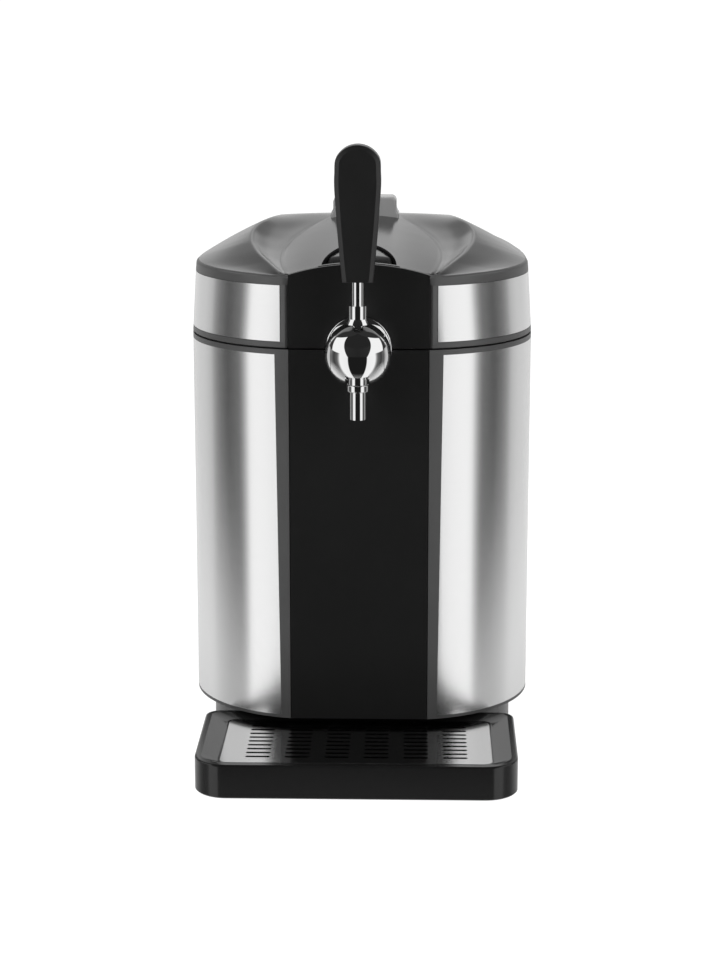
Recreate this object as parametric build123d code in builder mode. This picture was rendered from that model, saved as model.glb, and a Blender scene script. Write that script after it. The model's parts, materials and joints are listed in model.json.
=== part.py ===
from build123d import *

import os
from math import asin, cos, radians, sin, sqrt

# Counter-top cooler and tap for a five-litre keg. Millimetres, +Z up, front towards -Y.
# The origin is on the standing surface, at the middle of the overall width and depth.

# ---------------------------------------------------------------- driving dimensions
WIDTH = 276.0            # body, across its widest plane
FRONT_REACH = 206.0      # widest plane to the drip tray's front
REAR_REACH = 234.0       # widest plane to the vent cover's back
BODY_FRONT = 100.0       # widest plane to the flat front
FRONT_HALF = 55.0        # half width of the flat front
REAR_CORNER = 60.0       # radius of the rear housing's corners
BODY_BOTTOM = 30.0       # height of the body's lower edge
SEAM_Z = 332.0           # height of the seam between body and lid
SEAM_GAP = 1.2           # shadow gap below the lid
COVER_DEEP = 22.0        # depth of the vent cover on the rear housing
SHELL_WALL = 4.5
REAR_WALL = 3.0
STEEL = 1.0              # thickness of the stainless panels
PANEL_T = 2.5            # thickness of the black front panels
GAP = 0.3                # between pieces that move past each other
SEAT = 0.2               # between a piece and the recess that it is dropped into
FIT = 0.05               # radial clearance of a running fit

HALF = WIDTH / 2
WIDE_Y = (FRONT_REACH - REAR_REACH) / 2     # widest plane, seen from the origin
BODY_REAR = REAR_REACH - COVER_DEEP         # widest plane to the rear housing's back
DECK_TOP = SEAM_Z - SEAM_GAP

# Stainless panels
STEEL_FRONT_TOP = FRONT_HALF + 11.0         # half distance between the panels' front edges, at the top
STEEL_FRONT_LOW = FRONT_HALF + 7.6          # the same, at the bottom
STEEL_LOW_Z = BODY_BOTTOM + 2.5
STEEL_TOP_Z = SEAM_Z - 5.3
BAND_FRONT = FRONT_HALF + 6.5               # half distance between the lid bands' front edges
BAND_LOW_Z = SEAM_Z + 5.0
BAND_DROP = 8.4          # lid bands' top edge below the lid's rim

# Keg chamber, for a keg of 172 mm diameter and 250 mm height
CHAMBER_Y = 20.0         # chamber axis behind the widest plane
CHAMBER_R = 90.0
CHAMBER_FLOOR = 50.0
LINER_WALL = 1.5
LINER_RIM = 5.0          # width of the liner's top rim
DECK_T = 8.0
SPLIT_Y = CHAMBER_Y + CHAMBER_R + 8.0       # where the front shell meets the rear housing

# Base and feet
BASE_INSET = 14.0        # pedestal set back from the body's outline
BASE_WALL = 3.0
BASE_FRONT = BODY_FRONT - 28.0              # widest plane to the pedestal's front wall
PLATE_Z = 3.0
PLATE_T = 2.5
FOOT_R = 9.0
FOOT_X = HALF - 46.0
FOOT_FRONT = BASE_FRONT - 20.0
FOOT_REAR = BODY_REAR - 42.0

# Drip tray and grille
TRAY_HALF = HALF - 13.0
TRAY_REAR = BASE_FRONT + 1.0
TRAY_H = 27.6
TRAY_FLOAT = 0.6         # tray's underside above the standing surface
TRAY_CORNER = 26.0
TRAY_RIM = 5.0
TRAY_WALL = 3.0
GRILLE_HALF = TRAY_HALF - 19.5
GRILLE_FRONT = FRONT_REACH - 15.0
GRILLE_REAR = TRAY_REAR + 15.5
GRILLE_T = 1.6
GRILLE_TOP = TRAY_H - 3.0
GRILLE_CORNER = 7.0
SLOT_COLUMNS = 6
SLOT_ROWS = 9
SLOT_PITCH_X = 0.29 * GRILLE_HALF
SLOT_PITCH_Y = 0.0888 * (GRILLE_FRONT - GRILLE_REAR)
SLOT_LONG = SLOT_PITCH_X - 11.2
SLOT_WIDE = 3.6
SLOT_MID_Y = (GRILLE_FRONT + GRILLE_REAR) / 2 + 0.75
TONGUE_X = HALF - 68.0   # tray tongues that slide into the pedestal
TONGUE_W = 24.0
TONGUE_L = 26.0
TONGUE_T = 5.0
TONGUE_Z = 10.0

# Lid
LID_REAR = BODY_REAR - 20.0
LID_LEAN = 0.06          # how far the lid's side walls lean in, per millimetre of height
LID_WALL = 3.0
HINGE_Y = LID_REAR + 8.0
HINGE_Z = SEAM_Z - 5.0
HINGE_R = 3.0
KNUCKLE_R = 6.0
KNUCKLE_X = HALF - 94.0
KNUCKLE_W = 16.0
EAR_W = 8.0
BLOCK_HALF = 26.5        # rear finger grip
BLOCK_Y = 90.0
BLOCK_DEEP = 26.0
BLOCK_TOP = SEAM_Z + 100.6

# Release button in the dome's front
POCKET_HALF = 31.5
POCKET_FRONT = BODY_FRONT - 3.5
POCKET_DEEP = 71.0
BEZEL_W = 2.4
BEZEL_PROUD = 0.4
BUTTON_SLOT = 18.0       # open dark slot in front of the button
BUTTON_SINK = 1.4        # button's face below the dome

# Tap
TAP_Y = BODY_FRONT + 28.0                   # ball centre in front of the widest plane
TAP_Z = SEAM_Z - 0.2
BALL_R = 25.7
BALL_FLAT = 19.2         # ball centre down to its flattened underside
CAP_X = 20.5             # plane where the side caps start
CORE_R = 14.0            # fixed core inside the ball
SHANK_R = 8.5
FLANGE_R = 26.0
FLANGE_T = 3.0
SPOUT_R = 6.5
SPOUT_BORE = 4.5
SPOUT_END = TAP_Z - 50.0
COLLAR_R = 8.6
COLLAR_TOP = TAP_Z - 22.6
COLLAR_LOW = COLLAR_TOP - 5.8
FERRULE_R = 7.2
FERRULE_TOP = TAP_Z + 38.2
STEM_R = 4.7
GRIP_LOW = FERRULE_TOP + 18.4
GRIP_WIDE_Z = GRIP_LOW + 81.6
GRIP_CROWN = 22.1        # rounded top above the widest place
GRIP_HALF_LOW = 11.8
GRIP_HALF_WIDE = 17.5
GRIP_DEEP = 19.0
GRIP_BEVEL = 3.0
PULL_DEG = 35.0

# Cooling and electrics
FAN_SIZE = 92.0
FAN_T = 25.0
FAN_Z = 180.0
FAN_BLADES = 7
FIN_COUNT = 13
INLET_X = HALF - 76.0    # mains inlet to the left of the middle, switch to the right of it
INLET_Z = 62.0
BOARD_H = 85.0           # control board
SUPPLY_H = 59.0          # power supply


def level(z):
    """Horizontal plane whose origin is on the body's widest plane."""
    return Plane((0, WIDE_Y, z))


def facing(y):
    """Upright plane across the body, seen from the front; its y axis is the height."""
    return Plane((0, WIDE_Y + y, 0), x_dir=(1, 0, 0), z_dir=(0, -1, 0))


def flank(x):
    """Upright plane along the body; its x axis points back and its y axis is the height."""
    return Plane((x, WIDE_Y, 0), x_dir=(0, 1, 0), z_dir=(1, 0, 0))


def plan(z, inset=0.0, rear=BODY_REAR, narrow=0.0):
    """Sketch of the body's plan at height z: set in by inset, its sides narrower by narrow."""
    half = HALF - narrow
    rise = half - FRONT_HALF
    arc = (rise ** 2 + BODY_FRONT ** 2) / (2 * rise)
    centre = half - arc
    radius = arc - inset
    front = BODY_FRONT - inset
    side = half - inset
    back = rear - inset
    corner = REAR_CORNER - inset
    front_x = centre + sqrt(radius ** 2 - front ** 2)
    turn = asin(front / radius) / 2
    middle = (centre + radius * cos(turn), -radius * sin(turn))
    with BuildSketch(level(z)) as outline:
        with BuildLine():
            Line((0, -front), (front_x, -front))
            ThreePointArc((front_x, -front), middle, (side, 0))
            Line((side, 0), (side, back - corner))
            JernArc((side, back - corner), (0, 1), corner, 90)
            Line((side - corner, back), (0, back))
            mirror(about=Plane.YZ)
        make_face()
    return outline.sketch


def block(x0, x1, y0, y1, z0, z1, mode=Mode.ADD):
    """Box between two corners; y is measured from the widest plane."""
    middle = ((x0 + x1) / 2, WIDE_Y + (y0 + y1) / 2, (z0 + z1) / 2)
    with Locations(middle):
        Box(x1 - x0, y1 - y0, z1 - z0, mode=mode)


def write(piece, name):
    """Label a finished piece and write it as its own STEP file."""
    piece.part.label = name
    export_step(piece.part, f"parts/{name}.step")


os.makedirs("parts", exist_ok=True)


# ---------------------------------------------------------------- lid form
# Sections across the lid, front to back: distance behind the widest plane, rim where the outer slope
# meets the side wall, crest (x, z), crease between scoop and dome (x, z), height of the dome's spine,
# hollow of the scoop as a share of its width. Across, x is a share of the body's half width, and
# each height is above the seam.
LID_SECTIONS = (
    (-BODY_FRONT - 4.0, 57.4, (0.413, 57.6), (0.388, 57.2), 65.4, 0.12),
    (-0.70 * BODY_FRONT, 57.4, (0.503, 62.0), (0.435, 59.0), 68.8, 0.12),
    (-0.35 * BODY_FRONT, 57.4, (0.594, 66.9), (0.461, 61.4), 72.2, 0.12),
    (0.0, 57.4, (0.649, 71.6), (0.459, 64.6), 75.4, 0.12),
    (35.0, 55.4, (0.664, 76.2), (0.424, 68.8), 78.4, 0.11),
    (65.0, 53.2, (0.634, 79.6), (0.344, 74.0), 80.8, 0.09),
    (LID_REAR - 100.0, 50.4, (0.568, 81.0), (0.232, 79.6), 82.6, 0.04),
    (LID_REAR - 76.0, 48.4, (0.529, 79.9), (0.188, 81.6), 82.0, -0.01),
    (LID_REAR - 42.0, 45.6, (0.522, 76.0), (0.196, 77.8), 78.2, 0.0),
    (LID_REAR - 16.0, 45.2, (0.536, 69.0), (0.217, 69.8), 70.8, 0.0),
    (LID_REAR + 2.0, 45.2, (0.565, 59.4), (0.246, 59.6), 60.4, 0.0),
)
FORM_LOW = SEAM_Z - 32.0     # below everything on the lid
FORM_TOP = BLOCK_TOP + 20.0  # above everything on the lid
FORM_HALF = HALF + 12.0      # the sections run past the outline, and are then cut by it


def rim_half(y, rim):
    """Half width of the lid at its rim, at a distance y behind the widest plane."""
    half = HALF - LID_LEAN * rim
    rise = half - FRONT_HALF
    arc = (rise ** 2 + BODY_FRONT ** 2) / (2 * rise)
    if y < 0:
        return half - arc + sqrt(max(arc ** 2 - y ** 2, 0))
    return half


def lid_section(y, rim, crest, crease, spine, dip, drop):
    """One closed section across the lid's top, lowered by drop."""
    crest_x, crest_z = crest[0] * HALF, SEAM_Z + crest[1]
    crease_x, crease_z = crease[0] * HALF, SEAM_Z + crease[1]
    rim_x = max(rim_half(y, rim), crest_x + 4)
    fall = (crest_z - SEAM_Z - rim) / (rim_x - crest_x)
    edge_z = crest_z - fall * (FORM_HALF - crest_x)
    scoop_x = (crest_x + crease_x) / 2
    scoop_z = (crest_z + crease_z) / 2 - dip * (crest_x - crease_x)
    spine_z = SEAM_Z + spine
    bow = spine_z - crease_z
    radius = (crease_x ** 2 + bow ** 2) / (2 * bow)
    half = asin(crease_x / radius) / 2
    dome = (radius * sin(half), spine_z - radius + radius * cos(half) - drop)
    with BuildSketch(facing(y)) as section:
        with BuildLine():
            Line((0, FORM_LOW), (FORM_HALF, FORM_LOW))
            Line((FORM_HALF, FORM_LOW), (FORM_HALF, edge_z - drop))
            Line((FORM_HALF, edge_z - drop), (crest_x, crest_z - drop))
            if dip:
                ThreePointArc((crest_x, crest_z - drop), (scoop_x, scoop_z - drop),
                              (crease_x, crease_z - drop))
            else:
                Line((crest_x, crest_z - drop), (crease_x, crease_z - drop))
            ThreePointArc((crease_x, crease_z - drop), dome, (0, spine_z - drop))
            mirror(about=Plane.YZ)
        make_face()
    return section.sketch


def lid_walls(low, high, inset=0.0):
    """Solid inside the lid's leaning side walls, between two heights, set in by inset."""
    with BuildPart() as walls:
        ends = [plan(z, inset, LID_REAR, LID_LEAN * (z - SEAM_Z)) for z in (low, high)]
        loft(ends, ruled=True)
    return walls.part


def lid_form(floor, drop=0.0, inset=0.0):
    """The lid's outer form above a floor height, lowered by drop and set in by inset."""
    with BuildPart() as form:
        loft([lid_section(*place, drop) for place in LID_SECTIONS], ruled=True)
        add(lid_walls(floor, FORM_TOP, inset), mode=Mode.INTERSECT)
    return form.part


# ---------------------------------------------------------------- base
BASE_LOW = PLATE_Z + PLATE_T
FLANGE_TOP = BODY_BOTTOM + BASE_WALL

with BuildPart() as base_cavity:
    extrude(plan(BASE_LOW, BASE_INSET + BASE_WALL), amount=BODY_BOTTOM - BASE_LOW)
    block(-HALF, HALF, -BODY_FRONT, BASE_WALL - BASE_FRONT, 0, FLANGE_TOP, Mode.SUBTRACT)

with BuildPart() as base_housing:
    extrude(plan(BASE_LOW, BASE_INSET), amount=BODY_BOTTOM - BASE_LOW)
    block(-HALF, HALF, -BODY_FRONT, -BASE_FRONT, 0, FLANGE_TOP, Mode.SUBTRACT)
    add(base_cavity.part, mode=Mode.SUBTRACT)
    extrude(plan(BODY_BOTTOM, SHELL_WALL + SEAT), amount=BASE_WALL)
    for side in (-1, 1):
        half = TONGUE_W / 2 + GAP
        block(side * TONGUE_X - half, side * TONGUE_X + half, -BASE_FRONT - 1,
              BASE_WALL - BASE_FRONT + 1, TONGUE_Z - GAP, TONGUE_Z + TONGUE_T + GAP, Mode.SUBTRACT)
write(base_housing, "base_housing")

VENT_COUNT = 7
VENT_PITCH = 12.0
VENT_LONG = 70.0
VENT_WIDE = 5.0
VENT_Y = (FOOT_REAR - FOOT_FRONT) / 2 + 61.0
with BuildPart() as base_plate:
    extrude(plan(PLATE_Z, BASE_INSET), amount=PLATE_T)
    block(-HALF, HALF, -BODY_FRONT, -BASE_FRONT, 0, FLANGE_TOP, Mode.SUBTRACT)
    with BuildSketch(level(PLATE_Z)):
        with Locations((0, VENT_Y)):
            with GridLocations(VENT_LONG, VENT_PITCH, 1, VENT_COUNT):
                Rectangle(VENT_LONG, VENT_WIDE)
    extrude(amount=PLATE_T, mode=Mode.SUBTRACT)
write(base_plate, "base_plate")

with BuildPart() as rubber_feet:
    with BuildSketch(level(0)):
        for foot_y in (-FOOT_FRONT, FOOT_REAR):
            with Locations((-FOOT_X, foot_y), (FOOT_X, foot_y)):
                Circle(FOOT_R)
    extrude(amount=PLATE_Z)
write(rubber_feet, "rubber_feet")


# ---------------------------------------------------------------- drip tray and grille
def tray_outline(z, inset, front_corner, rear_corner):
    """Tray's plan at height z, set in by inset, with its own corner radii."""
    deep = FRONT_REACH - TRAY_REAR - 2 * inset
    with BuildSketch(level(z)) as outline:
        with Locations((0, -(FRONT_REACH + TRAY_REAR) / 2)):
            Rectangle(2 * (TRAY_HALF - inset), deep)
        fillet(outline.vertices().group_by(Axis.Y)[0], front_corner)
        fillet(outline.vertices().group_by(Axis.Y)[-1], rear_corner)
    return outline.sketch


def grille_outline(z, grow):
    """Grille's plan at height z, made larger all round by grow."""
    with BuildSketch(level(z)) as outline:
        with Locations((0, -(GRILLE_FRONT + GRILLE_REAR) / 2)):
            RectangleRounded(2 * (GRILLE_HALF + grow), GRILLE_FRONT - GRILLE_REAR + 2 * grow,
                             GRILLE_CORNER + grow)
    return outline.sketch


TRAY_REAR_CORNER = 12.0
LEDGE = 4.0              # width of the ledge under the grille's edge
GRILLE_FIT = 0.5         # round the grille in its recess
GRILLE_LOW = GRILLE_TOP - GRILLE_T
TIP_R = 0.75             # rounded rear edge that the grille tips on
TRAY_FLOOR = TRAY_FLOAT + TRAY_WALL
with BuildPart() as drip_tray:
    extrude(tray_outline(TRAY_FLOAT, 0, TRAY_CORNER, TRAY_REAR_CORNER), amount=TRAY_H - TRAY_FLOAT)
    fillet(drip_tray.faces().sort_by(Axis.Z)[-1].outer_wire().edges(), 1.5)
    chamfer(drip_tray.faces().sort_by(Axis.Z)[0].outer_wire().edges(), 1.0)
    loft([grille_outline(GRILLE_TOP, GRILLE_FIT + 1),
          tray_outline(TRAY_H, TRAY_RIM, TRAY_CORNER - TRAY_RIM, TRAY_REAR_CORNER - TRAY_RIM)],
         mode=Mode.SUBTRACT)
    extrude(grille_outline(GRILLE_LOW, GRILLE_FIT), amount=TRAY_H, mode=Mode.SUBTRACT)
    extrude(grille_outline(TRAY_FLOOR, -LEDGE), amount=TRAY_H, mode=Mode.SUBTRACT)
    for side in (-1, 1):
        block(side * TONGUE_X - TONGUE_W / 2, side * TONGUE_X + TONGUE_W / 2, -TRAY_REAR - 1,
              TONGUE_L - TRAY_REAR, TONGUE_Z, TONGUE_Z + TONGUE_T)
write(drip_tray, "drip_tray")

with BuildPart() as drip_grille:
    extrude(grille_outline(GRILLE_LOW, 0), amount=GRILLE_T)
    fillet(drip_grille.edges().filter_by(Axis.X).group_by(Axis.Y)[-1], TIP_R)
    with BuildSketch(level(GRILLE_LOW)):
        with Locations((0, -SLOT_MID_Y)):
            with GridLocations(SLOT_PITCH_X, SLOT_PITCH_Y, SLOT_COLUMNS, SLOT_ROWS):
                SlotOverall(SLOT_LONG, SLOT_WIDE)
    extrude(amount=GRILLE_T, mode=Mode.SUBTRACT)
write(drip_grille, "drip_grille")


# ---------------------------------------------------------------- body
NOTCH_R = SHANK_R + 0.4  # passage for the tap's shank
BODY_H = DECK_TOP - BODY_BOTTOM
STEEL_REAR = SPLIT_Y - 2.0


def tap_notch(depth, radius=NOTCH_R):
    """Round passage along the tap's axis, from the front to a depth behind it."""
    with BuildPart() as notch:
        with BuildSketch(facing(-BODY_FRONT - 2)):
            with Locations((0, TAP_Z)):
                Circle(radius)
        extrude(amount=-depth)
    return notch.part


def steel_panel(side):
    """One wrapped stainless panel; its front edge leans, as seen from the front."""
    with BuildPart() as panel:
        extrude(plan(STEEL_LOW_Z), amount=STEEL_TOP_Z - STEEL_LOW_Z)
        extrude(plan(STEEL_LOW_Z, STEEL), amount=STEEL_TOP_Z - STEEL_LOW_Z, mode=Mode.SUBTRACT)
        with BuildSketch(facing(-BODY_FRONT - 1)):
            with BuildLine():
                Polyline((side * STEEL_FRONT_LOW, STEEL_LOW_Z), (side * STEEL_FRONT_TOP, STEEL_TOP_Z),
                         (side * HALF * 1.1, STEEL_TOP_Z), (side * HALF * 1.1, STEEL_LOW_Z), close=True)
            make_face()
        extrude(amount=-(BODY_FRONT + 1 + STEEL_REAR), mode=Mode.INTERSECT)
    return panel


side_panel_left = steel_panel(-1)
write(side_panel_left, "side_panel_left")
side_panel_right = steel_panel(1)
write(side_panel_right, "side_panel_right")

with BuildPart() as front_panel:
    block(-FRONT_HALF + SEAT, FRONT_HALF - SEAT, -BODY_FRONT, -BODY_FRONT + PANEL_T, BODY_BOTTOM, DECK_TOP)
    chamfer(front_panel.faces().sort_by(Axis.Y)[0].edges().filter_by(Axis.Z), 0.8)
    add(tap_notch(PANEL_T + 4), mode=Mode.SUBTRACT)
write(front_panel, "front_panel")

with BuildPart() as body_shell:
    extrude(plan(BODY_BOTTOM), amount=BODY_H)
    extrude(plan(BODY_BOTTOM, SHELL_WALL), amount=BODY_H, mode=Mode.SUBTRACT)
    block(-HALF, HALF, SPLIT_Y, BODY_REAR, BODY_BOTTOM, DECK_TOP, Mode.SUBTRACT)
    block(-FRONT_HALF, FRONT_HALF, -BODY_FRONT - 1, PANEL_T - BODY_FRONT, BODY_BOTTOM, DECK_TOP,
          Mode.SUBTRACT)
    add(side_panel_left.part, mode=Mode.SUBTRACT)
    add(side_panel_right.part, mode=Mode.SUBTRACT)
    add(tap_notch(SHELL_WALL + 4), mode=Mode.SUBTRACT)
write(body_shell, "body_shell")

INLET_HALF = 13.5
INLET_H = 19.0
SWITCH_HALF = 11.0
SWITCH_H = 14.0
FAN_WINDOW = 43.0
LOUVRE_COUNT = 9
LOUVRE_PITCH = 9.0
LOUVRE_WIDE = 3.5
LOUVRE_LONG = 34.0
with BuildPart() as rear_housing:
    extrude(plan(BODY_BOTTOM), amount=BODY_H)
    extrude(plan(BODY_BOTTOM, REAR_WALL), amount=BODY_H, mode=Mode.SUBTRACT)
    block(-HALF, HALF, -BODY_FRONT, SPLIT_Y, BODY_BOTTOM, DECK_TOP, Mode.SUBTRACT)
    with BuildSketch(facing(BODY_REAR)):
        with Locations((0, FAN_Z)):
            Circle(FAN_WINDOW)
        with Locations((-INLET_X, INLET_Z)):
            Rectangle(2 * INLET_HALF, INLET_H)
        with Locations((INLET_X, INLET_Z)):
            Rectangle(2 * SWITCH_HALF, SWITCH_H)
    extrude(amount=REAR_WALL, mode=Mode.SUBTRACT)
    for side in (-1, 1):
        with BuildSketch(flank(side * HALF)):
            with Locations((SPLIT_Y + LOUVRE_LONG / 2 + 6, FAN_Z)):
                with GridLocations(LOUVRE_LONG, LOUVRE_PITCH, 1, LOUVRE_COUNT):
                    Rectangle(LOUVRE_LONG, LOUVRE_WIDE)
        extrude(amount=8, both=True, mode=Mode.SUBTRACT)
write(rear_housing, "rear_housing")

COVER_HALF = HALF - 62.0
COVER_H = 168.0
COVER_WALL = 2.5
COVER_R = 14.0
COVER_EDGE = 5.0
COVER_SCREW = 9.0        # screw centres in from the cover's edges
SCREW_HEAD = 3.0
COVER_SLOTS = 13
COVER_PITCH = 9.0
COVER_SLOT_LONG = COVER_HALF - 26.0
with BuildPart() as rear_cover:
    with BuildSketch(facing(REAR_REACH)):
        with Locations((0, FAN_Z)):
            RectangleRounded(2 * COVER_HALF, COVER_H, COVER_R)
    extrude(amount=REAR_REACH - BODY_REAR)
    fillet(rear_cover.faces().sort_by(Axis.Y)[-1].edges(), COVER_EDGE)
    with BuildSketch(facing(REAR_REACH - COVER_WALL)):
        with Locations((0, FAN_Z)):
            RectangleRounded(2 * (COVER_HALF - 2 * COVER_SCREW), COVER_H - 2 * COVER_WALL, 4)
            RectangleRounded(2 * (COVER_HALF - COVER_WALL), COVER_H - 4 * COVER_SCREW, 4)
    extrude(amount=REAR_REACH - BODY_REAR, mode=Mode.SUBTRACT)
    with BuildSketch(facing(REAR_REACH)):
        with Locations((0, FAN_Z)):
            with GridLocations(COVER_SLOT_LONG + 8, COVER_PITCH, 2, COVER_SLOTS):
                Rectangle(COVER_SLOT_LONG, COVER_PITCH / 2)
    extrude(amount=COVER_WALL, mode=Mode.SUBTRACT)
    with BuildSketch(facing(REAR_REACH)):
        with Locations((0, FAN_Z)):
            with GridLocations(2 * (COVER_HALF - COVER_SCREW), COVER_H - 2 * COVER_SCREW, 2, 2):
                Circle(SCREW_HEAD + SEAT)
    extrude(amount=4, mode=Mode.SUBTRACT)
write(rear_cover, "rear_cover")

with BuildPart() as cover_screws:
    with BuildSketch(facing(REAR_REACH - 4 + 1.8)):
        with Locations((0, FAN_Z)):
            with GridLocations(2 * (COVER_HALF - COVER_SCREW), COVER_H - 2 * COVER_SCREW, 2, 2):
                Circle(SCREW_HEAD)
                Circle(0.9, mode=Mode.SUBTRACT)
    extrude(amount=1.8)
write(cover_screws, "cover_screws")

# Deck that closes the body's top, with the chamber's mouth, the tap's channel and the hinge recess
RIM_R = CHAMBER_R + LINER_WALL + LINER_RIM
RIM_T = 1.5
HINGE_HALF = KNUCKLE_X + 20.0
NUT_R = 13.0
NUT_FRONT = BODY_FRONT - SHELL_WALL
NUT_T = 9.0
CHAMBER = (0, WIDE_Y + CHAMBER_Y)


def chamber_disc(z, radius, height):
    """Round solid on the keg chamber's axis."""
    with BuildPart() as disc:
        with BuildSketch(Plane((*CHAMBER, z))):
            Circle(radius)
        extrude(amount=height)
    return disc.part


DECK_LOW = DECK_TOP - DECK_T
with BuildPart() as top_deck:
    extrude(plan(DECK_LOW, SHELL_WALL + SEAT), amount=DECK_T)
    add(chamber_disc(DECK_LOW, CHAMBER_R + LINER_WALL + SEAT, DECK_T), mode=Mode.SUBTRACT)
    add(chamber_disc(DECK_TOP - RIM_T, RIM_R + SEAT, RIM_T), mode=Mode.SUBTRACT)
    block(-HINGE_HALF, HINGE_HALF, LID_REAR - 6, BODY_REAR, DECK_LOW, DECK_TOP, Mode.SUBTRACT)
    add(tap_notch(BODY_FRONT), mode=Mode.SUBTRACT)
    block(-NUT_R - 1, NUT_R + 1, -NUT_FRONT - 1, -NUT_FRONT + NUT_T + 1, DECK_LOW, DECK_TOP, Mode.SUBTRACT)
write(top_deck, "top_deck")

LINER_LOW = CHAMBER_FLOOR - LINER_WALL
with BuildPart() as chamber_liner:
    with BuildSketch(Plane((*CHAMBER, 0), x_dir=(1, 0, 0), z_dir=(0, -1, 0))):
        with BuildLine():
            Polyline((0, LINER_LOW), (CHAMBER_R + LINER_WALL, LINER_LOW),
                     (CHAMBER_R + LINER_WALL, DECK_TOP - RIM_T), (RIM_R, DECK_TOP - RIM_T),
                     (RIM_R, DECK_TOP), (CHAMBER_R, DECK_TOP), (CHAMBER_R, CHAMBER_FLOOR),
                     (0, CHAMBER_FLOOR), close=True)
        make_face()
    revolve(axis=Axis((*CHAMBER, 0), (0, 0, 1)))
    fillet(chamber_liner.edges().filter_by(GeomType.CIRCLE).group_by(Axis.Z)[0], 1.0)
    with BuildSketch(facing(-BODY_FRONT - 2)):
        with Locations((0, TAP_Z)):
            Circle(NOTCH_R)
    extrude(amount=-BODY_FRONT, mode=Mode.SUBTRACT)
write(chamber_liner, "chamber_liner")

PROBE_R = 8.0
PROBE_T = 5.0
COLD_HALF = 30.0
COLD_H = 70.0
COLD_LOW = FAN_Z - COLD_H / 2
COLD_HIGH = FAN_Z + COLD_H / 2
COLD_REAR = SPLIT_Y + 12.0
FOAM_REAR = SPLIT_Y - 3.0
with BuildPart() as chamber_insulation:
    extrude(plan(FLANGE_TOP, SHELL_WALL + 1), amount=DECK_LOW - FLANGE_TOP)
    block(-HALF, HALF, FOAM_REAR, BODY_REAR, FLANGE_TOP, DECK_LOW, Mode.SUBTRACT)
    add(chamber_disc(LINER_LOW, CHAMBER_R + LINER_WALL + SEAT, DECK_TOP), mode=Mode.SUBTRACT)
    add(chamber_disc(LINER_LOW - PROBE_T, PROBE_R + SEAT, PROBE_T), mode=Mode.SUBTRACT)
    block(-COLD_HALF - 1, COLD_HALF + 1, CHAMBER_Y + CHAMBER_R - 10, FOAM_REAR, COLD_LOW - 1, COLD_HIGH + 1,
          Mode.SUBTRACT)
    block(-NUT_R - 1, NUT_R + 1, -BODY_FRONT, -NUT_FRONT + NUT_T + 1, TAP_Z - NUT_R - 1, DECK_TOP,
          Mode.SUBTRACT)
write(chamber_insulation, "chamber_insulation")

with BuildPart() as thermostat_probe:
    with BuildSketch(Plane((*CHAMBER, LINER_LOW - PROBE_T))):
        Circle(PROBE_R)
    extrude(amount=PROBE_T)
write(thermostat_probe, "thermostat_probe")


# ---------------------------------------------------------------- cooling and electrics
with BuildPart() as cold_block:
    block(-COLD_HALF, COLD_HALF, CHAMBER_Y + CHAMBER_R - 8, COLD_REAR, COLD_LOW, COLD_HIGH)
    add(chamber_disc(COLD_LOW - 1, CHAMBER_R + LINER_WALL + 0.1, COLD_HIGH), mode=Mode.SUBTRACT)
write(cold_block, "cold_block")

PELTIER_HALF = 20.0
PELTIER_T = 4.0
SINK_FRONT = COLD_REAR + PELTIER_T
SINK_BASE = 5.0
SINK_REAR = BODY_REAR - REAR_WALL - FAN_T - 4.0
SINK_HALF = FAN_SIZE / 2
FIN_T = 1.6
with BuildPart() as peltier_module:
    block(-PELTIER_HALF, PELTIER_HALF, COLD_REAR, SINK_FRONT, FAN_Z - PELTIER_HALF, FAN_Z + PELTIER_HALF)
write(peltier_module, "peltier_module")

with BuildPart() as heatsink:
    with BuildSketch(level(FAN_Z - SINK_HALF)):
        with Locations((0, SINK_FRONT + SINK_BASE / 2)):
            Rectangle(2 * SINK_HALF, SINK_BASE)
        with Locations((0, (SINK_FRONT + SINK_REAR) / 2)):
            with GridLocations((2 * SINK_HALF - FIN_T) / (FIN_COUNT - 1), 1, FIN_COUNT, 1):
                Rectangle(FIN_T, SINK_REAR - SINK_FRONT)
    extrude(amount=2 * SINK_HALF)
write(heatsink, "heatsink")

FAN_REAR = BODY_REAR - REAR_WALL
HUB_R = 17.0
AXLE_R = 2.5
BLADE_R = FAN_WINDOW - 2.0
STRUT_W = 5.0
STRUT_T = 4.0
with BuildPart() as fan_frame:
    with BuildSketch(facing(FAN_REAR)):
        with Locations((0, FAN_Z)):
            RectangleRounded(FAN_SIZE, FAN_SIZE, 5)
            Circle(FAN_WINDOW, mode=Mode.SUBTRACT)
    extrude(amount=FAN_T)
    with BuildSketch(facing(FAN_REAR)):
        with Locations((0, FAN_Z)):
            Circle(HUB_R)
            for turn in (45, 135):
                Rectangle(FAN_SIZE, STRUT_W, rotation=turn)
    extrude(amount=STRUT_T)
    with BuildSketch(facing(FAN_REAR)):
        with Locations((0, FAN_Z)):
            Circle(AXLE_R)
    extrude(amount=FAN_T - 4)
write(fan_frame, "fan_frame")

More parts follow.
